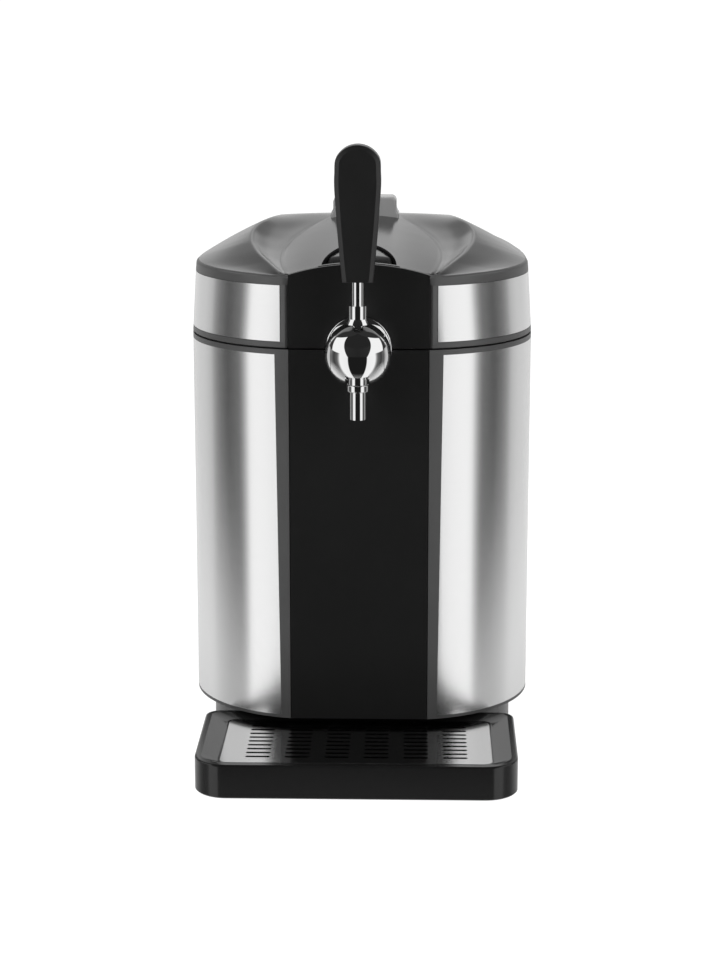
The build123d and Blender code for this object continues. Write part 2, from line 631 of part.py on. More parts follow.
ROTOR_REAR = FAN_REAR - STRUT_T - 1
ROTOR_T = 17.0
BLADE_TILT = 35.0
BLADE_T = 1.8
with BuildPart() as fan_rotor:
    for index in range(FAN_BLADES):
        angle = radians(360 / FAN_BLADES * index)
        outwards = (cos(angle), 0, sin(angle))
        hub = Plane((0, WIDE_Y + ROTOR_REAR - ROTOR_T / 2, FAN_Z), x_dir=(0, 1, 0), z_dir=outwards)
        with BuildSketch(hub):
            Rectangle(ROTOR_T, BLADE_T, rotation=BLADE_TILT)
        extrude(amount=BLADE_R)
    with BuildSketch(facing(ROTOR_REAR)):
        with Locations((0, FAN_Z)):
            Circle(HUB_R - 1)
    extrude(amount=ROTOR_T)
    with BuildSketch(facing(ROTOR_REAR)):
        with Locations((0, FAN_Z)):
            Circle(AXLE_R + FIT)
    extrude(amount=ROTOR_T, mode=Mode.SUBTRACT)
write(fan_rotor, "fan_rotor")

# The supply and the board stand on the base behind the foam, one on each side of the heat sink
SUPPLY_HALF = 25.0
SUPPLY_X = HALF - 51.0
SUPPLY_CORNER = 3.0
SUPPLY_SLOTS = 5         # cooling slots in its top
SUPPLY_PITCH = 8.0
SUPPLY_SLOT = 3.0
SIDE_FRONT = SPLIT_Y + 6.0
SIDE_REAR = BODY_REAR - 34.0
SIDE_MID = (SIDE_FRONT + SIDE_REAR) / 2
SIDE_LONG = SIDE_REAR - SIDE_FRONT
with BuildPart() as power_supply:
    with BuildSketch(level(FLANGE_TOP)) as supply_plan:
        with Locations((SUPPLY_X, SIDE_MID)):
            Rectangle(2 * SUPPLY_HALF, SIDE_LONG)
        chamfer(supply_plan.vertices(), SUPPLY_CORNER)
    extrude(amount=SUPPLY_H)
    with BuildSketch(level(FLANGE_TOP + SUPPLY_H)):
        with Locations((SUPPLY_X, SIDE_MID)):
            with GridLocations(SUPPLY_PITCH, 1, SUPPLY_SLOTS, 1):
                Rectangle(SUPPLY_SLOT, SIDE_LONG * 2 / 3)
    extrude(amount=-4, mode=Mode.SUBTRACT)
write(power_supply, "power_supply")

BOARD_X = HALF - 41.0
BOARD_T = 1.6
# Parts on the board: share of its length, length, height above its foot, height, thickness
BOARD_PARTS = ((0.22, 0.26, 27.0, 24.0, 9.0), (0.72, 0.33, 51.0, 16.0, 6.0), (0.68, 0.43, 11.0, 12.0, 12.0))
with BuildPart() as control_board:
    block(-BOARD_X - BOARD_T, -BOARD_X, SIDE_FRONT, SIDE_REAR, FLANGE_TOP, FLANGE_TOP + BOARD_H)
    for place, share, foot, height, thick in BOARD_PARTS:
        middle = SIDE_FRONT + place * SIDE_LONG
        reach = share * SIDE_LONG / 2
        block(-BOARD_X, -BOARD_X + thick, middle - reach, middle + reach, FLANGE_TOP + foot,
              FLANGE_TOP + foot + height)
write(control_board, "control_board")

INLET_FLANGE = 2.0       # thickness of the inlet's and the switch's flanges
INLET_DEEP = 22.0
SOCKET_HALF = 10.0
SOCKET_H = 12.0
SOCKET_DEEP = 16.0
PIN_X = 6.0              # socket's contact pins beside its middle
PIN_HALF_W = 1.0
PIN_H = 4.0
with BuildPart() as mains_inlet:
    block(-INLET_X - INLET_HALF - 4, -INLET_X + INLET_HALF + 4, BODY_REAR, BODY_REAR + INLET_FLANGE,
          INLET_Z - INLET_H / 2 - 3, INLET_Z + INLET_H / 2 + 3)
    block(-INLET_X - INLET_HALF + SEAT, -INLET_X + INLET_HALF - SEAT, BODY_REAR - INLET_DEEP, BODY_REAR,
          INLET_Z - INLET_H / 2 + SEAT, INLET_Z + INLET_H / 2 - SEAT)
    block(-INLET_X - SOCKET_HALF, -INLET_X + SOCKET_HALF, BODY_REAR - SOCKET_DEEP, BODY_REAR + INLET_FLANGE,
          INLET_Z - SOCKET_H / 2, INLET_Z + SOCKET_H / 2, Mode.SUBTRACT)
    for pin_x in (-INLET_X - PIN_X, -INLET_X + PIN_X):
        block(pin_x - PIN_HALF_W, pin_x + PIN_HALF_W, BODY_REAR - SOCKET_DEEP - 1, BODY_REAR - 4,
              INLET_Z - PIN_H / 2, INLET_Z + PIN_H / 2)
write(mains_inlet, "mains_inlet")

ROCKER_HALF = 7.0
ROCKER_H = 4.6
ROCKER_DEG = 16.0
ROCKER_PIN = 1.2
ROCKER_FACE = 6.5        # rocker's face behind its pin
ROCKER_ROOM = 1.6        # above and below the rocker
ROCKER_Y = BODY_REAR - 3.0
SWITCH_DEEP = 16.0
WELL_DEEP = 10.0
with BuildPart() as switch_frame:
    block(INLET_X - SWITCH_HALF - 2, INLET_X + SWITCH_HALF + 2, BODY_REAR, BODY_REAR + INLET_FLANGE,
          INLET_Z - SWITCH_H / 2 - 2, INLET_Z + SWITCH_H / 2 + 2)
    block(INLET_X - SWITCH_HALF + SEAT, INLET_X + SWITCH_HALF - SEAT, BODY_REAR - SWITCH_DEEP, BODY_REAR,
          INLET_Z - SWITCH_H / 2 + SEAT, INLET_Z + SWITCH_H / 2 - SEAT)
    block(INLET_X - ROCKER_HALF - GAP - 1, INLET_X + ROCKER_HALF + GAP + 1, BODY_REAR - WELL_DEEP,
          BODY_REAR + INLET_FLANGE, INLET_Z - ROCKER_H - ROCKER_ROOM, INLET_Z + ROCKER_H + ROCKER_ROOM,
          Mode.SUBTRACT)
    with BuildSketch(flank(INLET_X)):
        with Locations((ROCKER_Y, INLET_Z)):
            Circle(ROCKER_PIN + FIT)
    extrude(amount=ROCKER_HALF + 3, both=True, mode=Mode.SUBTRACT)
write(switch_frame, "switch_frame")

with BuildPart() as power_switch:
    with BuildSketch(flank(INLET_X)):
        with BuildLine():
            rest = radians(ROCKER_DEG / 2)
            high = (ROCKER_Y + ROCKER_FACE * cos(rest) + ROCKER_H * sin(rest),
                    INLET_Z + ROCKER_H * cos(rest) - ROCKER_FACE * sin(rest))
            low = (ROCKER_Y + ROCKER_FACE * cos(rest) - ROCKER_H * sin(rest),
                   INLET_Z - ROCKER_H * cos(rest) - ROCKER_FACE * sin(rest) + 1)
            Polyline((ROCKER_Y - 3, INLET_Z - 2), (ROCKER_Y - 3, INLET_Z + 2), high,
                     (ROCKER_Y + 4.2, INLET_Z), low, close=True)
        make_face()
    extrude(amount=ROCKER_HALF, both=True)
    with BuildSketch(flank(INLET_X)):
        with Locations((ROCKER_Y, INLET_Z)):
            Circle(ROCKER_PIN)
    extrude(amount=ROCKER_HALF + 2.6, both=True)
write(power_switch, "power_switch")


# ---------------------------------------------------------------- tap and beer line
# The lever's ball turns on a core that is fixed to the shank; two domed caps close its sides.
TAP = Vector(0, WIDE_Y - TAP_Y, TAP_Z)
TAP_LEVEL = Plane(TAP)                                           # extrudes upwards
TAP_SIDE = Plane(TAP, x_dir=(0, 1, 0), z_dir=(1, 0, 0))          # x back, y up
TAP_BACK = Plane(TAP, x_dir=(1, 0, 0), z_dir=(0, 1, 0))          # extrudes backwards
TAP_UPRIGHT = Plane((TAP.X, TAP.Y, 0), x_dir=(1, 0, 0), z_dir=(0, -1, 0))  # as TAP_FRONT, from the floor
TAP_FRONT = Plane(TAP, x_dir=(1, 0, 0), z_dir=(0, -1, 0))        # x across, y up
FLANGE_BACK = TAP_Y - BODY_FRONT - GAP
SHANK_END = TAP_Y - NUT_FRONT + NUT_T + 6
BARB_END = SHANK_END + 14
BARB_R = 4.4
BEER_BORE = 3.0
HUB_HALF = CAP_X - GAP
ARM_R = 8.0              # neck between flange and core
SPOUT_NECK_R = 7.5
PASSAGE = COLLAR_R + 0.7
FERRULE_FOOT = 11.0      # radius where the ferrule flares into the ball
FERRULE_SINK = 2.4

with BuildPart() as tap_body:
    with BuildSketch(TAP_SIDE):
        Circle(CORE_R)
    extrude(amount=CAP_X, both=True)
    with BuildSketch(TAP_BACK):
        Circle(ARM_R)
    extrude(amount=FLANGE_BACK)
    with BuildSketch(TAP_BACK.offset(FLANGE_BACK)):
        Circle(FLANGE_R)
    extrude(amount=-FLANGE_T)
    fillet(tap_body.edges().filter_by(GeomType.CIRCLE).filter_by(lambda e: e.radius == FLANGE_R), 1.4)
    with BuildSketch(TAP_BACK.offset(FLANGE_BACK)):
        Circle(SHANK_R)
    extrude(amount=SHANK_END - FLANGE_BACK)
    with BuildSketch(TAP_BACK.offset(SHANK_END)):
        Circle(BARB_R)
    extrude(amount=BARB_END - SHANK_END)
    with BuildSketch(TAP_LEVEL):
        Circle(SPOUT_NECK_R)
    extrude(amount=COLLAR_TOP - TAP_Z)
    with BuildSketch(TAP_BACK):
        Circle(BEER_BORE)
    extrude(amount=BARB_END, mode=Mode.SUBTRACT)
    with BuildSketch(TAP_LEVEL):
        Circle(SPOUT_BORE)
    extrude(amount=COLLAR_TOP - TAP_Z, mode=Mode.SUBTRACT)
write(tap_body, "tap_body")


def hub_passage(angle):
    """Sector in the hub's side view that a fixed neck at this angle sweeps as the lever is pulled."""
    reach = BALL_R + 3
    with BuildSketch(TAP_SIDE) as sector:
        for turn in (angle, angle - PULL_DEG / 2, angle - PULL_DEG):
            with Locations((reach / 2 * cos(radians(turn)), reach / 2 * sin(radians(turn)))):
                Rectangle(reach, 2 * PASSAGE, rotation=turn)
    return sector.sketch


with BuildPart() as lever_hub:
    with BuildSketch(TAP_FRONT):
        with BuildLine():
            ThreePointArc((0, BALL_R), (BALL_R, 0), (0, -BALL_R))
            Line((0, -BALL_R), (0, BALL_R))
        make_face()
    revolve(axis=Axis(TAP, (0, 0, 1)))
    with BuildSketch(TAP_FRONT):
        with Locations((0, (2 * BALL_R - BALL_FLAT) / 2)):
            Rectangle(2 * HUB_HALF, 2 * BALL_R + BALL_FLAT)
    extrude(amount=BALL_R, both=True, mode=Mode.INTERSECT)
    with BuildSketch(TAP_FRONT):
        with BuildLine():
            foot = sqrt(BALL_R ** 2 - FERRULE_FOOT ** 2) - FERRULE_SINK
            rise = (FERRULE_FOOT - FERRULE_R) * 1.3
            Line((0, foot), (FERRULE_FOOT, foot + FERRULE_SINK * 0.6))
            ThreePointArc((FERRULE_FOOT, foot + FERRULE_SINK * 0.6),
                          (FERRULE_R + 1.0, foot + FERRULE_SINK + rise * 0.45),
                          (FERRULE_R, foot + FERRULE_SINK + rise))
            Line((FERRULE_R, foot + FERRULE_SINK + rise), (FERRULE_R, FERRULE_TOP - TAP_Z))
            Line((FERRULE_R, FERRULE_TOP - TAP_Z), (0, FERRULE_TOP - TAP_Z))
            Line((0, FERRULE_TOP - TAP_Z), (0, foot))
        make_face()
    revolve(axis=Axis(TAP, (0, 0, 1)))
    with BuildSketch(TAP_SIDE):
        Circle(CORE_R + FIT)
    extrude(amount=HUB_HALF + 1, both=True, mode=Mode.SUBTRACT)
    for angle in (0, -90):
        extrude(hub_passage(angle), amount=PASSAGE, both=True, mode=Mode.SUBTRACT)
    with BuildSketch(TAP_LEVEL.offset(FERRULE_TOP - TAP_Z)):
        Circle(STEM_R)
    extrude(amount=-STEM_R * 2, mode=Mode.SUBTRACT)
write(lever_hub, "lever_hub")


def side_cap(side):
    """Domed cap on one end of the core, which keeps the hub in place."""
    with BuildPart() as cap:
        with BuildSketch(TAP_FRONT):
            with BuildLine():
                rim = sqrt(BALL_R ** 2 - CAP_X ** 2)
                lean = asin(rim / BALL_R) / 2
                Line((side * CAP_X, 0), (side * CAP_X, rim))
                ThreePointArc((side * CAP_X, rim), (side * BALL_R * cos(lean), BALL_R * sin(lean)),
                              (side * BALL_R, 0))
                Line((side * BALL_R, 0), (side * CAP_X, 0))
            make_face()
        revolve(axis=Axis(TAP, (1, 0, 0)))
    return cap


tap_cap_left = side_cap(-1)
write(tap_cap_left, "tap_cap_left")
tap_cap_right = side_cap(1)
write(tap_cap_right, "tap_cap_right")

with BuildPart() as spout:
    with BuildSketch(Plane((TAP.X, TAP.Y, COLLAR_TOP))):
        Circle(COLLAR_R)
    extrude(amount=COLLAR_LOW - COLLAR_TOP)
    fillet(spout.edges().filter_by(GeomType.CIRCLE), 1.0)
    with BuildSketch(Plane((TAP.X, TAP.Y, COLLAR_LOW + 1))):
        Circle(SPOUT_R)
    extrude(amount=SPOUT_END - COLLAR_LOW - 1)
    with BuildSketch(Plane((TAP.X, TAP.Y, COLLAR_TOP))):
        Circle(SPOUT_BORE)
    extrude(amount=SPOUT_END - COLLAR_TOP, mode=Mode.SUBTRACT)
write(spout, "spout")

with BuildPart() as shank_nut:
    with BuildSketch(TAP_BACK.offset(TAP_Y - NUT_FRONT)):
        RegularPolygon(NUT_R, 6)
        Circle(SHANK_R, mode=Mode.SUBTRACT)
    extrude(amount=NUT_T)
write(shank_nut, "shank_nut")

STEM_LOW = FERRULE_TOP - STEM_R * 2
STEM_TOP = GRIP_LOW + 22.0
with BuildPart() as lever_stem:
    with BuildSketch(Plane((TAP.X, TAP.Y, STEM_LOW))):
        Circle(STEM_R)
    extrude(amount=STEM_TOP - STEM_LOW)
write(lever_stem, "lever_stem")

GRIP_TOP = GRIP_WIDE_Z + GRIP_CROWN
with BuildPart() as lever_grip:
    with BuildSketch(TAP_UPRIGHT) as paddle:
        with BuildLine():
            Line((0, GRIP_LOW), (GRIP_HALF_LOW, GRIP_LOW))
            Spline((GRIP_HALF_LOW, GRIP_LOW),
                   (0.797 * GRIP_HALF_WIDE, GRIP_LOW + 0.28 * (GRIP_WIDE_Z - GRIP_LOW)),
                   (0.937 * GRIP_HALF_WIDE, GRIP_LOW + 0.66 * (GRIP_WIDE_Z - GRIP_LOW)),
                   (GRIP_HALF_WIDE, GRIP_WIDE_Z),
                   (0.914 * GRIP_HALF_WIDE, GRIP_WIDE_Z + 0.58 * GRIP_CROWN),
                   (0.518 * GRIP_HALF_WIDE, GRIP_WIDE_Z + 0.89 * GRIP_CROWN), (0, GRIP_TOP),
                   tangents=((0.1, 1), (-1, 0)))
            mirror(about=Plane.YZ)
        make_face()
    extrude(amount=GRIP_DEEP / 2, both=True)
    for face in (lever_grip.faces().sort_by(Axis.Y)[0], lever_grip.faces().sort_by(Axis.Y)[-1]):
        chamfer(face.outer_wire().edges().filter_by(Axis.X, reverse=True), GRIP_BEVEL)
    with BuildSketch(Plane((TAP.X, TAP.Y, GRIP_LOW))):
        Circle(STEM_R)
    extrude(amount=STEM_TOP - GRIP_LOW, mode=Mode.SUBTRACT)
write(lever_grip, "lever_grip")

COUPLER_R = 24.0
COUPLER_LOW = TAP_Z - 27.8
COUPLER_HEAD = 12.0
COUPLER_NECK_R = 10.0
COUPLER_TOP = TAP_Z + 12.2
HOSE_R = 6.0
with BuildPart() as keg_coupler:
    with BuildSketch(Plane((*CHAMBER, COUPLER_LOW))):
        Circle(COUPLER_R)
    extrude(amount=COUPLER_HEAD)
    chamfer(keg_coupler.edges().filter_by(GeomType.CIRCLE), 1.5)
    with BuildSketch(Plane((*CHAMBER, COUPLER_LOW + COUPLER_HEAD))):
        Circle(COUPLER_NECK_R)
    extrude(amount=COUPLER_TOP - COUPLER_LOW - COUPLER_HEAD)
    with BuildSketch(Plane((*CHAMBER, TAP_Z), x_dir=(1, 0, 0), z_dir=(0, -1, 0))):
        Circle(BARB_R)
    extrude(amount=COUPLER_NECK_R + 14)
    with BuildSketch(Plane((*CHAMBER, TAP_Z), x_dir=(1, 0, 0), z_dir=(0, -1, 0))):
        Circle(BEER_BORE)
    extrude(amount=COUPLER_NECK_R + 14, mode=Mode.SUBTRACT)
    with BuildSketch(Plane((*CHAMBER, COUPLER_LOW))):
        Circle(BEER_BORE)
    extrude(amount=TAP_Z - COUPLER_LOW, mode=Mode.SUBTRACT)
write(keg_coupler, "keg_coupler")

HOSE_FRONT = SHANK_END - TAP_Y
HOSE_REAR = CHAMBER_Y - COUPLER_NECK_R
with BuildPart() as beer_hose:
    with BuildSketch(TAP_BACK.offset(SHANK_END)):
        Circle(HOSE_R)
        Circle(BARB_R, mode=Mode.SUBTRACT)
    extrude(amount=HOSE_REAR - HOSE_FRONT)
write(beer_hose, "beer_hose")


# ---------------------------------------------------------------- lid
LID_LOW = SEAM_Z
LINER_PLATE = 2.5
LINER_Z = LID_LOW + 1.0
BAY_HALF = 26.0          # bay for the latch, behind the lid's front wall
BAY_REAR = BODY_FRONT - 38.0
HOOD_R = 78.0            # raised part of the lid's liner, over the coupler
HOOD_TOP = SEAM_Z + 34.0
PIVOT_Y = BODY_FRONT - 60.0                 # button's pivot in front of the widest plane
PIVOT_Z = SEAM_Z + 61.0
PIVOT_R = 2.0
TUB_LOW = SEAM_Z + 48.0  # underside of the button's tub
TUB_FLOOR = 2.5
BUTTON_LOW = TUB_LOW + 7.0
PUSH_Y = BODY_FRONT - 28.0                  # where the button's foot meets the latch
LATCH_Y = BODY_FRONT - 16.0
LATCH_Z = SEAM_Z + 38.0
LATCH_PIN_R = 2.0
LATCH_R = 4.2
LATCH_HALF = 20.0
PRONG_X = 17.0
PRONG_W = 5.0
PRONG_T = 3.0
NOSE = 3.0
KEEPER_TOP = SEAM_Z + 10.0
KEEPER_GAP = 0.6         # lets the nose past as the lid starts to rise


def pocket_outline(z, shrink, front):
    """Half-oval plan of the button's pocket, made smaller by shrink, cut off at front."""
    with BuildSketch(level(z)) as outline:
        with Locations((0, -POCKET_FRONT)):
            Ellipse(POCKET_HALF - shrink, POCKET_DEEP - shrink)
        with Locations((0, front + POCKET_DEEP / 2)):
            Rectangle(2 * POCKET_HALF, POCKET_DEEP, mode=Mode.INTERSECT)
    return outline.sketch


def pocket_prism(z, shrink=0.0, front=-POCKET_FRONT, height=60.0):
    """Upright solid on the pocket's plan."""
    with BuildPart() as prism:
        extrude(pocket_outline(z, shrink, front), amount=height)
    return prism.part


def lid_band(side):
    """One stainless band wrapped round the lid's side; its top edge follows the lid's rim."""
    top = [(place[0], SEAM_Z + place[1] - BAND_DROP) for place in LID_SECTIONS]
    front, outside = side * BAND_FRONT, side * HALF
    with BuildPart() as band:
        add(lid_walls(LID_LOW, FORM_TOP))
        add(lid_walls(LID_LOW, FORM_TOP, STEEL), mode=Mode.SUBTRACT)
        with BuildSketch(flank(0)):
            with BuildLine():
                Polyline((top[0][0], BAND_LOW_Z), *top, (top[-1][0], BAND_LOW_Z), close=True)
            make_face()
        extrude(amount=HALF, both=True, mode=Mode.INTERSECT)
        block(min(front, outside), max(front, outside), -BODY_FRONT - 1, STEEL_REAR, LID_LOW, FORM_TOP,
              Mode.INTERSECT)
    return band


lid_band_left = lid_band(-1)
write(lid_band_left, "lid_band_left")
lid_band_right = lid_band(1)
write(lid_band_right, "lid_band_right")

lid_outer = lid_form(LID_LOW)
LID_FRONT_WALL = SHELL_WALL - GAP
with BuildPart() as lid_hollow:
    add(lid_form(LID_LOW - 5, LID_WALL, LID_WALL))
    block(-HALF, HALF, -BODY_FRONT - 1, LID_FRONT_WALL - BODY_FRONT, LID_LOW - 6, FORM_TOP, Mode.SUBTRACT)

with BuildPart() as lid_shell:
    add(lid_outer)
    add(lid_hollow.part, mode=Mode.SUBTRACT)
    block(-FRONT_HALF, FRONT_HALF, -BODY_FRONT - 1, PANEL_T - BODY_FRONT, LID_LOW, FORM_TOP, Mode.SUBTRACT)
    add(lid_band_left.part, mode=Mode.SUBTRACT)
    add(lid_band_right.part, mode=Mode.SUBTRACT)
    add(pocket_prism(TUB_LOW), mode=Mode.SUBTRACT)
    add(tap_notch(LID_FRONT_WALL + 4), mode=Mode.SUBTRACT)
write(lid_shell, "lid_shell")

with BuildPart() as lid_front_panel:
    add(lid_outer)
    block(-FRONT_HALF + SEAT, FRONT_HALF - SEAT, -BODY_FRONT, PANEL_T - BODY_FRONT, LID_LOW, FORM_TOP,
          Mode.INTERSECT)
    add(tap_notch(PANEL_T + 4), mode=Mode.SUBTRACT)
write(lid_front_panel, "lid_front_panel")

with BuildPart() as button_bezel:
    add(lid_form(TUB_LOW, -BEZEL_PROUD))
    add(pocket_prism(TUB_LOW), mode=Mode.INTERSECT)
    add(pocket_prism(TUB_LOW + TUB_FLOOR, BEZEL_W, BEZEL_W - POCKET_FRONT), mode=Mode.SUBTRACT)
    with BuildSketch(flank(0)):
        with Locations((-PIVOT_Y, PIVOT_Z)):
            Circle(PIVOT_R + FIT)
    extrude(amount=POCKET_HALF, both=True, mode=Mode.SUBTRACT)
    block(-5, 5, -PUSH_Y - 3, -PUSH_Y + 3, TUB_LOW - 1, TUB_LOW + TUB_FLOOR + 1, Mode.SUBTRACT)
    for side in (-1, 1):
        inner = LATCH_HALF + GAP
        block(min(side * inner, side * (inner + 3)), max(side * inner, side * (inner + 3)),
              -LATCH_Y - 5, -LATCH_Y + 5, LATCH_Z - 5, TUB_LOW)
    with BuildSketch(flank(0)):
        with Locations((-LATCH_Y, LATCH_Z)):
            Circle(LATCH_PIN_R)
    extrude(amount=LATCH_HALF + 4, both=True, mode=Mode.SUBTRACT)
write(button_bezel, "button_bezel")

BUTTON_FRONT = BUTTON_SLOT - POCKET_FRONT
PIVOT_HALF = 17.0
with BuildPart() as release_button:
    add(lid_form(BUTTON_LOW, BUTTON_SINK))
    add(pocket_prism(BUTTON_LOW - 1, BEZEL_W + GAP, BUTTON_FRONT), mode=Mode.INTERSECT)
    with BuildSketch(flank(0)):
        with Locations((-PIVOT_Y, PIVOT_Z)):
            Circle(PIVOT_R)
    extrude(amount=PIVOT_HALF, both=True)
    block(-3, 3, -PUSH_Y - 2, -PUSH_Y + 2, LATCH_Z + LATCH_R + 0.7, BUTTON_LOW)
write(release_button, "release_button")

with BuildPart() as latch_pin:
    with BuildSketch(flank(0)):
        with Locations((-LATCH_Y, LATCH_Z)):
            Circle(LATCH_PIN_R)
    extrude(amount=LATCH_HALF + 3, both=True)
write(latch_pin, "latch_pin")

NOSE_Z = KEEPER_TOP - 6.0
with BuildPart() as latch_yoke:
    with BuildSketch(flank(0)):
        with Locations((-LATCH_Y, LATCH_Z)):
            Circle(LATCH_R)
    extrude(amount=LATCH_HALF, both=True)
    block(-5, 5, -LATCH_Y, -PUSH_Y + 4, LATCH_Z + LATCH_R - 3, LATCH_Z + LATCH_R)
    for side in (-1, 1):
        with BuildSketch(flank(side * PRONG_X)):
            with BuildLine():
                Polyline((-LATCH_Y - PRONG_T / 2, LATCH_Z), (-LATCH_Y - PRONG_T / 2, NOSE_Z - 3),
                         (-LATCH_Y + PRONG_T / 2, NOSE_Z - 3), (-LATCH_Y + PRONG_T / 2 + NOSE, NOSE_Z),
                         (-LATCH_Y + PRONG_T / 2, NOSE_Z + 0.5), (-LATCH_Y + PRONG_T / 2, LATCH_Z),
                         close=True)
            make_face()
        extrude(amount=PRONG_W / 2, both=True)
    with BuildSketch(flank(0)):
        with Locations((-LATCH_Y, LATCH_Z)):
            Circle(LATCH_PIN_R + FIT)
    extrude(amount=LATCH_HALF + 1, both=True, mode=Mode.SUBTRACT)
    block(6, 13, -LATCH_Y - LATCH_R - 1, -LATCH_Y + LATCH_R + 1, LATCH_Z - LATCH_R - 1,
          LATCH_Z + LATCH_R + 1, Mode.SUBTRACT)
    block(-LATCH_HALF, LATCH_HALF, -LATCH_Y + LATCH_R - 1, -LATCH_Y + LATCH_R + 1, LATCH_Z - LATCH_R,
          LATCH_Z + LATCH_R)
write(latch_yoke, "latch_yoke")

SPRING_WIRE = 0.5
SPRING_TURNS = 5
with BuildPart() as latch_spring:
    with BuildSketch(Plane((0, WIDE_Y - LATCH_Y, LATCH_Z), x_dir=(1, 0, 0), z_dir=(0, -1, 0))):
        for turn in range(SPRING_TURNS):
            with Locations((7.2 + turn * SPRING_WIRE * 1.9, LATCH_PIN_R + SPRING_WIRE)):
                Circle(SPRING_WIRE)
    revolve(axis=Axis((0, WIDE_Y - LATCH_Y, LATCH_Z), (1, 0, 0)))
write(latch_spring, "latch_spring")

NOSE_TIP = -LATCH_Y + PRONG_T / 2 + NOSE
with BuildPart() as latch_keeper:
    for side in (-1, 1):
        with BuildSketch(flank(side * PRONG_X)):
            with BuildLine():
                Polyline((NOSE_TIP + KEEPER_GAP, KEEPER_TOP), (NOSE_TIP + KEEPER_GAP, KEEPER_TOP - 2),
                         (NOSE_TIP + 2, KEEPER_TOP - 2), (NOSE_TIP + 2, DECK_TOP + 1.5),
                         (NOSE_TIP + 1, DECK_TOP + 1.5), (NOSE_TIP + 1, DECK_TOP),
                         (NOSE_TIP + 4, DECK_TOP), (NOSE_TIP + 4, KEEPER_TOP), close=True)
            make_face()
        extrude(amount=PRONG_W / 2 + 0.5, both=True)
write(latch_keeper, "latch_keeper")

with BuildPart() as lid_liner:
    extrude(plan(LINER_Z, LID_WALL + SEAT + 0.3, LID_REAR), amount=LINER_PLATE)
    block(-HALF, HALF, -BODY_FRONT, LID_FRONT_WALL + SEAT - BODY_FRONT, LINER_Z - 1, HOOD_TOP,
          Mode.SUBTRACT)
    add(chamber_disc(LINER_Z, HOOD_R + LINER_PLATE, HOOD_TOP - LINER_Z))
    add(chamber_disc(LINER_Z - 1, HOOD_R, HOOD_TOP - LINER_PLATE - LINER_Z + 1), mode=Mode.SUBTRACT)
    block(-BAY_HALF, BAY_HALF, -BODY_FRONT, -BAY_REAR, LINER_Z - 1, HOOD_TOP, Mode.SUBTRACT)
    block(-HOSE_R - 4, HOSE_R + 4, -BAY_REAR - 1, 0, LINER_Z - 1, TAP_Z + HOSE_R + 8, Mode.SUBTRACT)
write(lid_liner, "lid_liner")

GASKET_R = RIM_R + 1.5
GASKET_W = 5.0
with BuildPart() as lid_gasket:
    add(chamber_disc(DECK_TOP + GAP, GASKET_R + GASKET_W, LINER_Z - DECK_TOP - GAP))
    add(chamber_disc(DECK_TOP, GASKET_R, LINER_Z - DECK_TOP + 1), mode=Mode.SUBTRACT)
    block(-BAY_HALF, BAY_HALF, -BODY_FRONT, 0, DECK_TOP, LINER_Z, Mode.SUBTRACT)
write(lid_gasket, "lid_gasket")

BLOCK_R = 9.0
BLOCK_LOW = SEAM_Z + 68.4
BLOCK_FLARE = 4.0        # how far its foot spreads on each side
FLARE_TOP = SEAM_Z + 92.0
FLARE_LOW = SEAM_Z + 83.0
with BuildPart() as lid_grip:
    with BuildSketch(facing(BLOCK_Y + BLOCK_DEEP)):
        with BuildLine():
            Line((0, BLOCK_LOW), (BLOCK_HALF + BLOCK_FLARE, BLOCK_LOW))
            Line((BLOCK_HALF + BLOCK_FLARE, BLOCK_LOW), (BLOCK_HALF + BLOCK_FLARE, FLARE_LOW))
            ThreePointArc((BLOCK_HALF + BLOCK_FLARE, FLARE_LOW),
                          (BLOCK_HALF + BLOCK_FLARE * 0.25, FLARE_LOW * 0.6 + FLARE_TOP * 0.4),
                          (BLOCK_HALF, FLARE_TOP))
            Line((BLOCK_HALF, FLARE_TOP), (BLOCK_HALF, BLOCK_TOP))
            Line((BLOCK_HALF, BLOCK_TOP), (0, BLOCK_TOP))
            mirror(about=Plane.YZ)
        make_face()
    extrude(amount=BLOCK_DEEP)
    fillet(lid_grip.edges().filter_by(Axis.Y).group_by(Axis.Z)[-1], BLOCK_R)
    fillet(lid_grip.faces().sort_by(Axis.Y)[0].edges() + lid_grip.faces().sort_by(Axis.Y)[-1].edges(), 2.5)
    add(lid_outer, mode=Mode.SUBTRACT)
write(lid_grip, "lid_grip")


# ---------------------------------------------------------------- hinge
def knuckle(centre, width, radius=KNUCKLE_R):
    """Round knuckle on the hinge's axis."""
    with BuildPart() as barrel:
        with BuildSketch(flank(centre)):
            with Locations((HINGE_Y, HINGE_Z)):
                Circle(radius)
        extrude(amount=width / 2, both=True)
    return barrel.part


EAR_X = KNUCKLE_X + KNUCKLE_W / 2 + GAP + EAR_W / 2
PIN_HALF = EAR_X + EAR_W / 2
LEAF_T = 3.0
LEAF_TOP = SEAM_Z + 30.0
BRACKET_T = 2.0
BRACKET_Y = FAN_REAR - BRACKET_T
with BuildPart() as hinge_pin:
    add(knuckle(0, 2 * PIN_HALF, HINGE_R))
write(hinge_pin, "hinge_pin")

with BuildPart() as hinge_bracket:
    block(-PIN_HALF, PIN_HALF, BRACKET_Y, FAN_REAR, DECK_LOW - 6, DECK_TOP - 0.5)
    for side in (-1, 1):
        add(knuckle(side * EAR_X, EAR_W))
        block(side * EAR_X - EAR_W / 2, side * EAR_X + EAR_W / 2, HINGE_Y, BRACKET_Y, HINGE_Z - KNUCKLE_R,
              DECK_TOP - 0.5)
    add(knuckle(0, 2 * PIN_HALF + 2, HINGE_R), mode=Mode.SUBTRACT)
write(hinge_bracket, "hinge_bracket")

